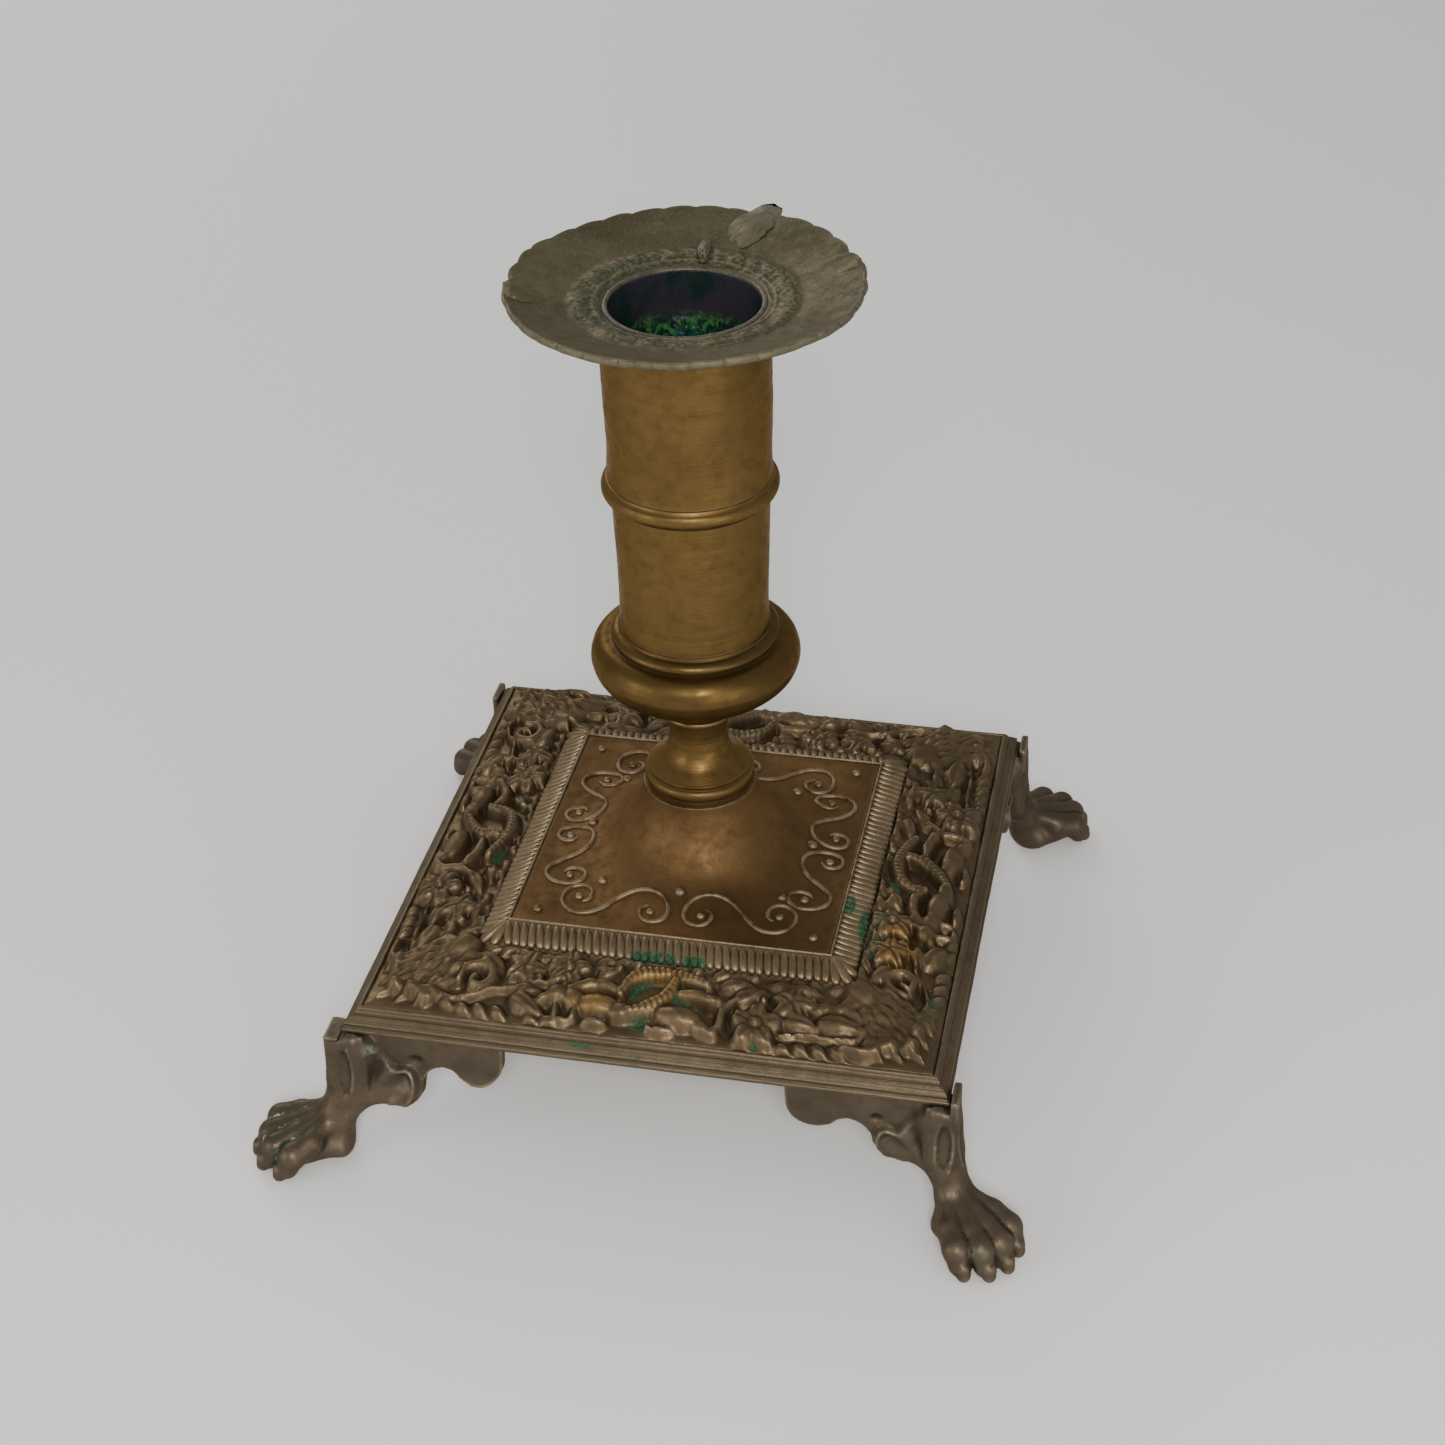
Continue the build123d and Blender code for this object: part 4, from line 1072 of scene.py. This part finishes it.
def border_pieces(colours):
    inner, outer = GADROON_HALF + 0.06, MOULDING_HALF - 2.9
    rows, columns = 64, 1440
    deep = TRAY_Z - 1.1
    across = np.linspace(inner, outer, rows)
    outline = [(inner, deep)] + [(t, TRAY_Z) for t in across] + [(outer, deep), ((inner + outer) / 2, deep)]
    angle = np.linspace(0, 2 * np.pi, columns, endpoint=False)
    # even spacing along each side, so the mitres stay straight
    quarter = np.floor(angle / (np.pi / 2) + 0.5)
    part = (angle - quarter * np.pi / 2) / (np.pi / 4)
    x1, y1 = np.ones_like(part), part
    turn = quarter * np.pi / 2
    ux, uy = x1 * np.cos(turn) - y1 * np.sin(turn), x1 * np.sin(turn) + y1 * np.cos(turn)
    reach = np.array([p[0] for p in outline])
    x, y = np.outer(ux, reach), np.outer(uy, reach)
    z = np.tile(np.array([p[1] for p in outline]), (columns, 1))
    t = np.maximum(np.abs(x), np.abs(y))
    slope = np.interp(t, [inner, inner + 0.7, outer - 0.4, outer], [3.0, 2.6, 0.3, 0.05])
    shape = relief(x[:, 1:-2], y[:, 1:-2])
    plan = np.stack([x[:, 1:-2], y[:, 1:-2]], -1)
    ground = slope[:, 1:-2] - 0.25 + 0.1 * noise(plan, 2.2, 101, 3)
    raised = slope[:, 1:-2] - 0.15 + shape * (0.88 + 0.12 * noise(plan, 3.5, 103, 2))
    raised = raised + 0.1 * noise(plan, 0.9, 105, 2)
    fade = smooth(inner, inner + 0.4, t[:, 1:-2]) * smooth(outer, outer - 0.35, t[:, 1:-2])
    top = np.maximum(ground, np.where(shape > 0, raised * fade + ground * (1 - fade), -9))
    top = worn_smooth(top, 2)
    z[:, 1:-2] = TRAY_Z + top
    points = np.stack([x, y, z], -1).reshape(-1, 3)
    mesh = mesh_of("border_relief", points, quads_of_grid(columns, len(outline), True, True))
    point_outwards(mesh)
    brass = aged_brass("border_brass", colours.border, colours, mottle=0.3, wear=0.4,
                       dirt=0.8, rough=0.42, metal=0.72, grain=0.3, green=1.0, gold=colours.gilt)
    x, y, _ = vertices_mm(mesh).T
    spots = [(-1.6, -36.4, 3.2, 2.2), (4.4, -37.0, 2.2, 3.2), (-0.8, -43.0, 2.2, 1.6), (31.8, -17, 1.7, 7),
             (42.6, -32, 1.5, 4.5), (33, -4, 1, 3), (-33, -8, 1.2, 2.2), (17.5, -43.8, 1.2, 0.9)]
    set_attribute(mesh, "green", green_spots(x, y, spots) * smooth(0.35, -0.35, curvature(mesh, 4)))
    rubbed = green_spots(x, y, [(1, -36, 6, 5), (36, -20, 3.5, 7), (-9, -40, 4, 2.5)])
    set_attribute(mesh, "gilt", rubbed * 0.8)
    place("border_relief", mesh, brass, STAND, sharp=75)

    low, high = cad_mm("base_frame")
    edge = high[0]
    outline = [(LEDGE, TRAY_Z - 1.2), (edge - 3.0, TRAY_Z - 1.2), (edge - 3.0, low[2]), (edge - 0.7, low[2])]
    outline += shifted(edge, TRAY_Z, [
        (-0.15, -3.6), (0, -3.2), (0, -2.9), (-0.35, -2.65), (-0.5, -2.35), (-0.35, -2.1), (-0.55, -1.8),
        (-1.0, -1.45), (-1.45, -1.05), (-1.75, -0.95), (-1.85, -0.55), (-2.1, -0.35), (-2.2, -0.05),
        (-2.45, 0.1), (-2.65, 0.1), (-2.85, -0.1), (-2.85, -1.12)])
    outline += shifted(0, TRAY_Z, [(31.0, -1.12), (30.3, 0.78), (LEDGE, 0.78)])
    line = finer(eased_line(outline + outline[:1], 0.12, 3)[:-1], 0.6)

    def squared(r, z, a):
        out = square_reach(r, a)
        where = round_points(out, a, z * 2)
        outside = smooth(edge - 3.3, edge - 2.6, r)
        worn = 0.05 * noise(where, 6, 111, 3) * outside
        return out + worn, z + 0.05 * noise(where, 7, 113, 3) * outside * (z > low[2] + 0.4)

    mesh = turned("tray_moulding", line, 960, squared)
    x, y, _ = vertices_mm(mesh).T
    set_attribute(mesh, "green", green_spots(x, y, [(-9.6, -46.6, 2.2, 0.45), (-0.6, -47.4, 0.9, 0.5)]))
    drawn = aged_brass("moulding_brass", MOULDING_COLOUR, colours, mottle=0.25, wear=0.25, dirt=0.6,
                       rough=0.48, metal=0.75, grain=0.3, rings=1.6, green=0.7)
    place("tray_moulding", mesh, drawn, STAND, ["base_frame"], sharp=50)


# ---- paw feet -----------------------------------------------------------------------------

def soft_union(a, b, k):
    """Union of two distance fields with a fillet of about k."""
    h = np.clip(0.5 + 0.5 * (b - a) / k, 0, 1)
    return b * (1 - h) + a * h - k * h * (1 - h)


def limb(p, a, b, ra, rb, flat=1.0):
    """Distance to a tapering round limb; flat squeezes it across the diagonal."""
    a, b = np.array(a, np.float32), np.array(b, np.float32)
    step = b - a
    along = (p[0] - a[0]) * step[0] + (p[1] - a[1]) * step[1] + (p[2] - a[2]) * step[2]
    t = np.clip(along / (step @ step), 0, 1)
    d = np.sqrt((p[0] - a[0] - t * step[0]) ** 2 + ((p[1] - a[1] - t * step[1]) / flat) ** 2
                + (p[2] - a[2] - t * step[2]) ** 2)
    return d - (ra + (rb - ra) * t)


def outline_distance(x, z, points):
    """Signed distance to a closed outline in a plane, negative inside."""
    best, sign = np.full(x.shape, 1e9), np.ones(x.shape)
    for a, b in zip(points, np.roll(points, -1, axis=0)):
        ex, ez = b - a
        wx, wz = x - a[0], z - a[1]
        t = np.clip((wx * ex + wz * ez) / (ex * ex + ez * ez + 1e-12), 0, 1)
        best = np.minimum(best, (wx - ex * t) ** 2 + (wz - ez * t) ** 2)
        c1, c2, c3 = z >= a[1], z < b[1], ex * wz > ez * wx
        flip = (c1 & c2 & c3) | (~c1 & ~c2 & ~c3)
        sign = np.where(flip, -sign, sign)
    return sign * np.sqrt(best)


WING_EDGE = [(22.3, 20.5), (22.7, 17.6), (24.3, 15.4), (26.8, 14.6), (29.3, 15.4), (30.7, 16.7), (32.4, 17.1),
             (34.4, 16.2), (35.5, 14.6), (35.9, 12.4), (37.2, 11.0), (39.2, 10.7), (41.6, 10.6), (43.8, 10.8),
             (45.6, 11.3), (47.0, 12.2)]
LEAF_EDGE = [(36.2, 12.4), (35.9, 14.4), (36.7, 16.3), (38.2, 17.1), (39.8, 16.9), (41.0, 18.2), (42.0, 20.0),
             (43.6, 21.6), (46.0, 22.4)]


def wing_relief(x, z):
    """How far the wing's face stands proud: leaf with radiating flutes, rolled over at its tip."""
    edge = curve_through(LEAF_EDGE, 40)
    outline = np.vstack([edge, [(50.5, 22.5), (50.5, 1.0), (46, 2.0), (41.6, 8.6), (37.4, 10.4)]])
    d = outline_distance(x, z, outline)
    raised = smooth(0.15, -0.9, d) * 1.15
    around = np.degrees(np.arctan2(z - 1.0, 50.5 - x))
    away = np.hypot(z - 1.0, 50.5 - x)
    flute = 0.42 * np.cos((around - 44) * 2 * np.pi / 13) * smooth(4, 9, away) * smooth(0.0, -1.6, d)
    roll = 0.55 * hump(d, -0.75, 0.5) * smooth(41.5, 37, x)
    pit = -0.9 * np.exp(-(((x - 36.6) / 0.9) ** 2 + ((z - 17.9) / 0.8) ** 2))
    pit = pit - 0.7 * np.exp(-(((x - 35.0) / 0.7) ** 2 + ((z - 13.6) / 0.9) ** 2))
    return raised + flute + roll + pit


def foot_field(x, y, z):
    """Distance field of the back right foot, in millimetres (its corner is at +x, +y)."""
    u, v = (x + y) / math.sqrt(2), (y - x) / math.sqrt(2)
    p = (u, v, z)
    # leg from the knee to the ankle, with the haunches that run into both wings
    leg = limb(p, (65.0, 0, 20.0), (66.4, 0, 14.0), 3.3, 2.8, 1.05)
    leg = soft_union(leg, limb(p, (66.4, 0, 14.0), (68.8, 0, 8.6), 2.7, 2.0, 1.05), 1.3)
    leg = soft_union(leg, limb(p, (69.0, 0, 8.2), (70.2, 0, 2.4), 2.0, 2.3, 1.35), 1.1)
    for knee in ((39.8, 45.4, 12.6), (45.4, 39.8, 12.6)):
        haunch = limb((x, y, z), knee, (47.8, 47.8, 9.8), 1.5, 1.9)
        leg = soft_union(leg, haunch, 2.0)
    # paw: instep and four full toes, each with a blunt claw
    paw = limb(p, (71.0, 0, 3.0), (76.6, 0, 3.2), 2.8, 2.9, 1.7)
    paw = soft_union(paw, limb(p, (69.6, 0, 7.2), (75.0, 0, 4.4), 2.0, 3.0, 1.45), 1.6)
    toes = np.full(u.shape, 1e3, np.float32)
    for across, tip in ((-4.7, 79.0), (-1.6, 81.0), (1.6, 81.0), (4.7, 79.0)):
        tendon = limb(p, (69.0, across * 0.2, 8.6), (tip - 4.8, across * 0.82, 5.7), 0.75, 1.6)
        knuckle = limb(p, (tip - 4.8, across * 0.82, 5.3), (tip - 1.6, across, 4.6), 2.0, 2.2)
        toe = limb(p, (tip - 1.6, across, 4.4), (tip - 0.4, across * 1.03, 2.4), 2.05, 1.8)
        claw = limb(p, (tip + 0.6, across * 1.04, 2.6), (tip + 0.9, across * 1.06, 1.4), 1.25, 1.1)
        one = soft_union(soft_union(tendon, knuckle, 0.8), toe, 0.6)
        one = soft_union(one, claw, 0.3)
        toes = soft_union(toes, one, 0.3)
    paw = soft_union(paw, toes, 0.5)
    body = soft_union(leg, paw, 1.4)
    # wings on both faces of the corner, with the post between them
    edge = curve_through(WING_EDGE, 60)
    outline = np.vstack([edge, [(48.3, 12.6), (48.3, 23.1), (22.3, 23.1)]])
    flat_x, flat_z = x[:, :1, :], z[:, :1, :]
    face = outline_distance(flat_x, flat_z, outline)
    proud = wing_relief(flat_x, flat_z)
    for off, swap in ((y, False), (x, True)):
        d2 = np.swapaxes(face, 0, 1) if swap else face
        h2 = np.swapaxes(proud, 0, 1) if swap else proud
        thick = np.maximum(off - (46.4 + h2 * 0.9), 44.5 - off)
        body = soft_union(body, np.maximum(d2, thick), 1.1)
    # knee post at the corner, with a shallow upright oval on each face
    rounding = 0.7
    post = [np.abs(q - middle) - half + rounding
            for q, middle, half in ((x, 47.3, 2.0), (y, 47.3, 2.0), (z, 16.8, 6.3))]
    outside = np.sqrt(sum(np.maximum(q, 0) ** 2 for q in post))
    body = soft_union(body, outside + np.minimum(np.maximum.reduce(post), 0) - rounding, 1.5)
    for off, other in ((y, x), (x, y)):
        oval = np.sqrt(((other - 47.4) / 1.15) ** 2 + ((z - 16.6) / 4.6) ** 2)
        cut = 0.34 * smooth(1.05, 0.75, oval) - 0.14 * hump(oval, 1.25, 0.22)
        near = smooth(48.2, 49.0, off) * smooth(0, 1, 50.2 - other)
        body = body + cut * near
    # tab on the outer face of the moulding and the plate that the screws hold
    tab = np.maximum.reduce([np.abs(x - 48.67) - 0.62, np.abs(y - 46.7) - 2.6, z - 25.5, 20 - z])
    body = soft_union(body, tab, 0.3)
    plate = np.maximum.reduce([31.0 - x, 31.0 - y, np.maximum(x, y) - 46.4, (69.2 - x - y) / math.sqrt(2),
                               z - 23.1, 21.6 - z])
    body = np.minimum(body, plate)
    clear = np.maximum(23.1 - z, np.maximum(x, y) - 47.95)      # room for the moulding
    body = np.maximum(body, -clear)
    return np.maximum(body, 0.02 - z)


def surface_of(field, origin, step):
    """Quads on the zero level of a distance field, one vertex in each cell that it crosses."""
    size = np.array(field.shape)
    inside = field < 0
    total = np.zeros((*(size - 1), 3), np.float32)
    hits = np.zeros(size - 1, np.float32)
    crossings = []
    for axis in range(3):
        low = [slice(None)] * 3
        high = [slice(None)] * 3
        low[axis], high[axis] = slice(0, -1), slice(1, None)
        f0, f1 = field[tuple(low)], field[tuple(high)]
        cross = inside[tuple(low)] != inside[tuple(high)]
        t = np.where(cross, f0 / np.where(cross, f0 - f1, 1), 0)
        others = [k for k in range(3) if k != axis]
        for da in (0, 1):
            for db in (0, 1):
                pick = [slice(None)] * 3
                pick[others[0]] = slice(da, size[others[0]] - 1 + da)
                pick[others[1]] = slice(db, size[others[1]] - 1 + db)
                hit = cross[tuple(pick)]
                hits += hit
                total[..., axis] += np.where(hit, t[tuple(pick)], 0)
                total[..., others[0]] += hit * da
                total[..., others[1]] += hit * db
        crossings.append(cross)
    cells = np.argwhere(hits > 0)
    number = np.full(hits.shape, -1, np.int64)
    number[tuple(cells.T)] = np.arange(len(cells))
    points = (cells + total[tuple(cells.T)] / hits[tuple(cells.T)][:, None]) * step + origin
    quads = []
    for axis in range(3):
        others = [(axis + 1) % 3, (axis + 2) % 3]
        at = np.argwhere(crossings[axis])
        ok = np.ones(len(at), bool)
        for k in others:
            ok &= (at[:, k] > 0) & (at[:, k] < size[k] - 1)
        at = at[ok]
        a, b = np.zeros(3, int), np.zeros(3, int)
        a[others[0]], b[others[1]] = 1, 1
        ring = [number[tuple((at - s).T)] for s in (a + b, b, 0 * a, a)]
        ring = np.stack(ring, -1)
        inward = inside[tuple(at.T)]
        quads.append(np.where(inward[:, None], ring, ring[:, ::-1]))
    return points, np.concatenate(quads)


ANKLE = 48.9                            # where the paws turn, along x and y
TAB_FACE, TAB_FOOT = 47.9, 22.4         # the corner tab's inner face and the height that it stands on
# foot, side of the base along x and y, paw's turn in degrees, tab's height, how far it stands off
FEET = [("foot_back_right", 1, 1, -3, 0.7, 0.0), ("foot_front_right", 1, -1, 4, 1.0, 0.0),
        ("foot_back_left", -1, 1, 0, 0.8, 0.0), ("foot_front_left", -1, -1, -15, 0.25, 1.2)]
GREEN_SPOTS = {"foot_front_left": ((43.0, 48.4, 20.6), 1.7), "foot_front_right": ((54.6, 58.6, 5.4), 1.5)}


def foot_pieces(sizes, colours):
    step = sizes.voxel / MM
    origin = np.array([21.4, 21.4, -0.6])
    reach = np.array([63.4, 63.4, 27.6])
    count = np.ceil((reach - origin) / step).astype(int)
    axes = [(origin[k] + np.arange(count[k]) * step).astype(np.float32) for k in range(3)]
    x, y, z = np.meshgrid(*axes, indexing="ij")
    points, quads = surface_of(foot_field(x, y, z), origin, step)
    brass = aged_brass("foot_brass", colours.foot, colours, mottle=0.28, wear=0.45,
                       dirt=0.9, rough=0.46, metal=0.7, grain=0.28, green=1.0, crust=True)
    for name, sx, sy, turn, tab, stand_off in FEET:
        # the paw turns about its ankle, the tab keeps only part of its height, and the leg stands off
        x, y, z = points.T
        angle = math.radians(turn) * smooth(17, 8, z)
        dx, dy = x - ANKLE, y - ANKLE
        own_x = ANKLE + dx * np.cos(angle) - dy * np.sin(angle)
        own_y = ANKLE + dx * np.sin(angle) + dy * np.cos(angle)
        own_z = np.where((z > TAB_FOOT) & (own_x > TAB_FACE), TAB_FOOT + tab * (z - TAB_FOOT), z)
        own_x = own_x + stand_off * smooth(TAB_FACE, 49.2, own_x)
        faces = quads if sx * sy > 0 else quads[:, ::-1]
        mesh = mesh_of(name, np.stack([own_x * sx, own_y * sy, own_z], -1), faces)
        out = (x + y) / math.sqrt(2)
        crusts = smooth(71.5, 74, out) if name == "foot_front_left" else np.zeros(len(out))
        spot, size = GREEN_SPOTS.get(name, ((0, 0, 0), 1.0))
        spots = np.exp(-((points - np.array(spot)) ** 2).sum(1) / size**2) * (name in GREEN_SPOTS)
        place_foot(name, mesh, brass, crusts, spots)


def place_foot(name, mesh, brass, crusts, spots):
    """Foot with its crust in the grooves between the toes and one small corroded spot."""
    bend = curvature(mesh, 3)
    set_attribute(mesh, "green", np.clip(crusts * smooth(-0.04, -0.3, bend) + 0.5 * spots, 0, 1))
    place(name, mesh, brass, STAND, [name], sharp=65, passes=3)


# ---- iron and steel that the frame already holds --------------------------------------------

def hardware(colours):
    iron = aged_brass("rusted_iron", (0.06, 0.042, 0.03), colours, worn=(0.2, 0.17, 0.15), mottle=0.5,
                      wear=0.3, dirt=0.5, rough=0.62, metal=0.5, grain=0.35)
    steel = aged_brass("dull_steel", (0.16, 0.15, 0.135), colours, worn=(0.4, 0.38, 0.35), mottle=0.35,
                       wear=0.3, dirt=0.5, rough=0.45, metal=0.9, grain=0.2)
    for name, material in (("tie_rod", iron), ("top_nut", iron), ("base_nut", iron), ("base_washer", iron),
                           ("foot_screws", steel), ("panel_screws", steel)):
        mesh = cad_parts[name].data
        mesh.materials.clear()
        mesh.materials.append(material)


# ---- floor, lights and camera ---------------------------------------------------------------

def soft_light(name, at, size, power, tint):
    """Round lamp that faces the candlestick."""
    data = bpy.data.lights.new(name, "AREA")
    data.shape, data.size, data.energy, data.color = "DISK", size, power, tint
    lamp = link_object(name, data)
    lamp.location = at
    lamp.rotation_mode = "QUATERNION"
    lamp.rotation_quaternion = (Vector(LIT_POINT) - Vector(at)).to_track_quat("-Z", "Y")


WARM = (1.0, 0.97, 0.94)
# each lamp's name, place, size, power and colour
LIGHTS = (("key", (0.14, -0.62, 0.5), 0.2, 4.4, (1.0, 0.95, 0.88)),
          ("fill", (-0.6, -0.5, 0.24), 0.5, 2.1, WARM),
          ("low", (0.5, -0.55, 0.12), 0.5, 2.1, WARM),
          ("back", (-0.5, 0.68, 0.5), 0.5, 2.0, (1.0, 0.98, 0.95)))
LIT_POINT = (0, 0, 0.06)
WORLD_LIGHT = 0.55
VIEW = [math.radians(a) for a in (12.488, 34.774, -1.53)]      # the camera's azimuth, elevation and roll
LENS, DISTANCE = 64.51, 0.4167
AIM_UP, AIM_RIGHT = 0.0282, 0.00387                            # from the tray's middle


def stage():
    floor = bpy.data.meshes.new("floor")
    floor.from_pydata([(-3, -3, 0), (3, -3, 0), (3, 3, 0), (-3, 3, 0)], [], [(0, 1, 2, 3)])
    material, _, shader = new_material("pale_floor")
    shader.inputs["Base Color"].default_value = (0.82, 0.82, 0.82, 1)
    shader.inputs["Roughness"].default_value = 0.7
    floor.materials.append(material)
    link_object("floor", floor)

    world = bpy.data.worlds.new("studio")
    bpy.context.scene.world = world
    world.use_nodes = True
    back = world.node_tree.nodes["Background"]
    back.inputs[0].default_value = (1.0, 1.0, 1.0, 1)
    back.inputs[1].default_value = WORLD_LIGHT
    for light in LIGHTS:
        soft_light(*light)

    azimuth, elevation, roll = VIEW
    away = Vector((math.sin(azimuth) * math.cos(elevation), -math.cos(azimuth) * math.cos(elevation),
                   math.sin(elevation)))
    right = Vector((math.cos(azimuth), math.sin(azimuth), 0))
    up = away.cross(right)
    side = right * math.cos(roll) + up * math.sin(roll)
    top = up * math.cos(roll) - right * math.sin(roll)
    aim = Vector((0, 0, AIM_UP + TRAY_Z * MM)) + right * AIM_RIGHT
    data = bpy.data.cameras.new("camera")
    data.sensor_width, data.lens = 36.0, LENS
    data.clip_start = 0.01
    camera = link_object("camera", data)
    facing = Matrix((side, top, away)).transposed().to_4x4()
    camera.matrix_world = Matrix.Translation(aim + away * DISTANCE) @ facing
    bpy.context.scene.camera = camera


# ---- operators, panel and registration ------------------------------------------------------

class CANDLESTICK_OT_stage(bpy.types.Operator):
    """Pale floor, soft studio light and the camera"""
    bl_idname = "candlestick.stage"
    bl_label = "Stage"

    def execute(self, context):
        stage()
        return {"FINISHED"}


class CANDLESTICK_OT_stem(bpy.types.Operator):
    """Turned tubes, collar, knop and neck"""
    bl_idname = "candlestick.stem"
    bl_label = "Stem"

    def execute(self, context):
        stem_pieces(context.scene.candlestick_stem, context.scene.candlestick_finishes)
        return {"FINISHED"}


class CANDLESTICK_OT_pan(bpy.types.Operator):
    """Wavy drip pan with its nozzle and old wax"""
    bl_idname = "candlestick.pan"
    bl_label = "Drip pan"

    def execute(self, context):
        pan_pieces(context.scene.candlestick_pan, context.scene.candlestick_finishes)
        return {"FINISHED"}


class CANDLESTICK_OT_panel(bpy.types.Operator):
    """Domed panel with raised scroll cords and bosses"""
    bl_idname = "candlestick.panel"
    bl_label = "Domed panel"

    def execute(self, context):
        panel_piece(context.scene.candlestick_panel, context.scene.candlestick_finishes)
        return {"FINISHED"}


class CANDLESTICK_OT_gadroon(bpy.types.Operator):
    """Gadrooned band round the panel"""
    bl_idname = "candlestick.gadroon"
    bl_label = "Gadrooned band"

    def execute(self, context):
        gadroon_piece(context.scene.candlestick_gadroon, context.scene.candlestick_finishes)
        return {"FINISHED"}


class CANDLESTICK_OT_border(bpy.types.Operator):
    """Relief border and edge moulding of the tray"""
    bl_idname = "candlestick.border"
    bl_label = "Border"

    def execute(self, context):
        border_pieces(context.scene.candlestick_finishes)
        return {"FINISHED"}


class CANDLESTICK_OT_feet(bpy.types.Operator):
    """Paw feet with their corner brackets"""
    bl_idname = "candlestick.feet"
    bl_label = "Feet"

    def execute(self, context):
        foot_pieces(context.scene.candlestick_feet, context.scene.candlestick_finishes)
        return {"FINISHED"}


class CANDLESTICK_OT_hardware(bpy.types.Operator):
    """Finishes of the rod, nuts, washer and screws"""
    bl_idname = "candlestick.hardware"
    bl_label = "Hardware"

    def execute(self, context):
        hardware(context.scene.candlestick_finishes)
        return {"FINISHED"}


OPERATORS = (CANDLESTICK_OT_stage, CANDLESTICK_OT_stem, CANDLESTICK_OT_pan, CANDLESTICK_OT_panel,
             CANDLESTICK_OT_gadroon, CANDLESTICK_OT_border, CANDLESTICK_OT_feet, CANDLESTICK_OT_hardware)
GROUPS = {"stem": StemSizes, "pan": PanSizes, "panel": PanelSizes, "gadroon": GadroonSizes, "feet": FootSizes,
          "finishes": Finishes}


class CANDLESTICK_PT_panel(bpy.types.Panel):
    """Sizes, finishes and pieces of the candlestick"""
    bl_label = "Footed Candlestick"
    bl_idname = "CANDLESTICK_PT_panel"
    bl_space_type = "VIEW_3D"
    bl_region_type = "UI"
    bl_category = "Candlestick"

    def draw(self, context):
        for operator in OPERATORS:
            self.layout.operator(operator.bl_idname)
        for name, group in GROUPS.items():
            box = self.layout.box()
            box.label(text=group.__doc__)
            for key in group.__annotations__:
                box.prop(getattr(context.scene, f"candlestick_{name}"), key)


def register():
    for group in GROUPS.values():
        bpy.utils.register_class(group)
    for name, group in GROUPS.items():
        setattr(bpy.types.Scene, f"candlestick_{name}", PointerProperty(type=group))
    for operator in OPERATORS:
        bpy.utils.register_class(operator)
    bpy.utils.register_class(CANDLESTICK_PT_panel)


def unregister():
    bpy.utils.unregister_class(CANDLESTICK_PT_panel)
    for operator in reversed(OPERATORS):
        bpy.utils.unregister_class(operator)
    for name, group in GROUPS.items():
        delattr(bpy.types.Scene, f"candlestick_{name}")
        bpy.utils.unregister_class(group)


def main():
    register()
    bpy.ops.candlestick.stage()
    bpy.ops.candlestick.stem()
    bpy.ops.candlestick.pan()
    bpy.ops.candlestick.panel()
    bpy.ops.candlestick.gadroon()
    bpy.ops.candlestick.border()
    bpy.ops.candlestick.feet()
    bpy.ops.candlestick.hardware()


if __name__ == "__main__":
    main()
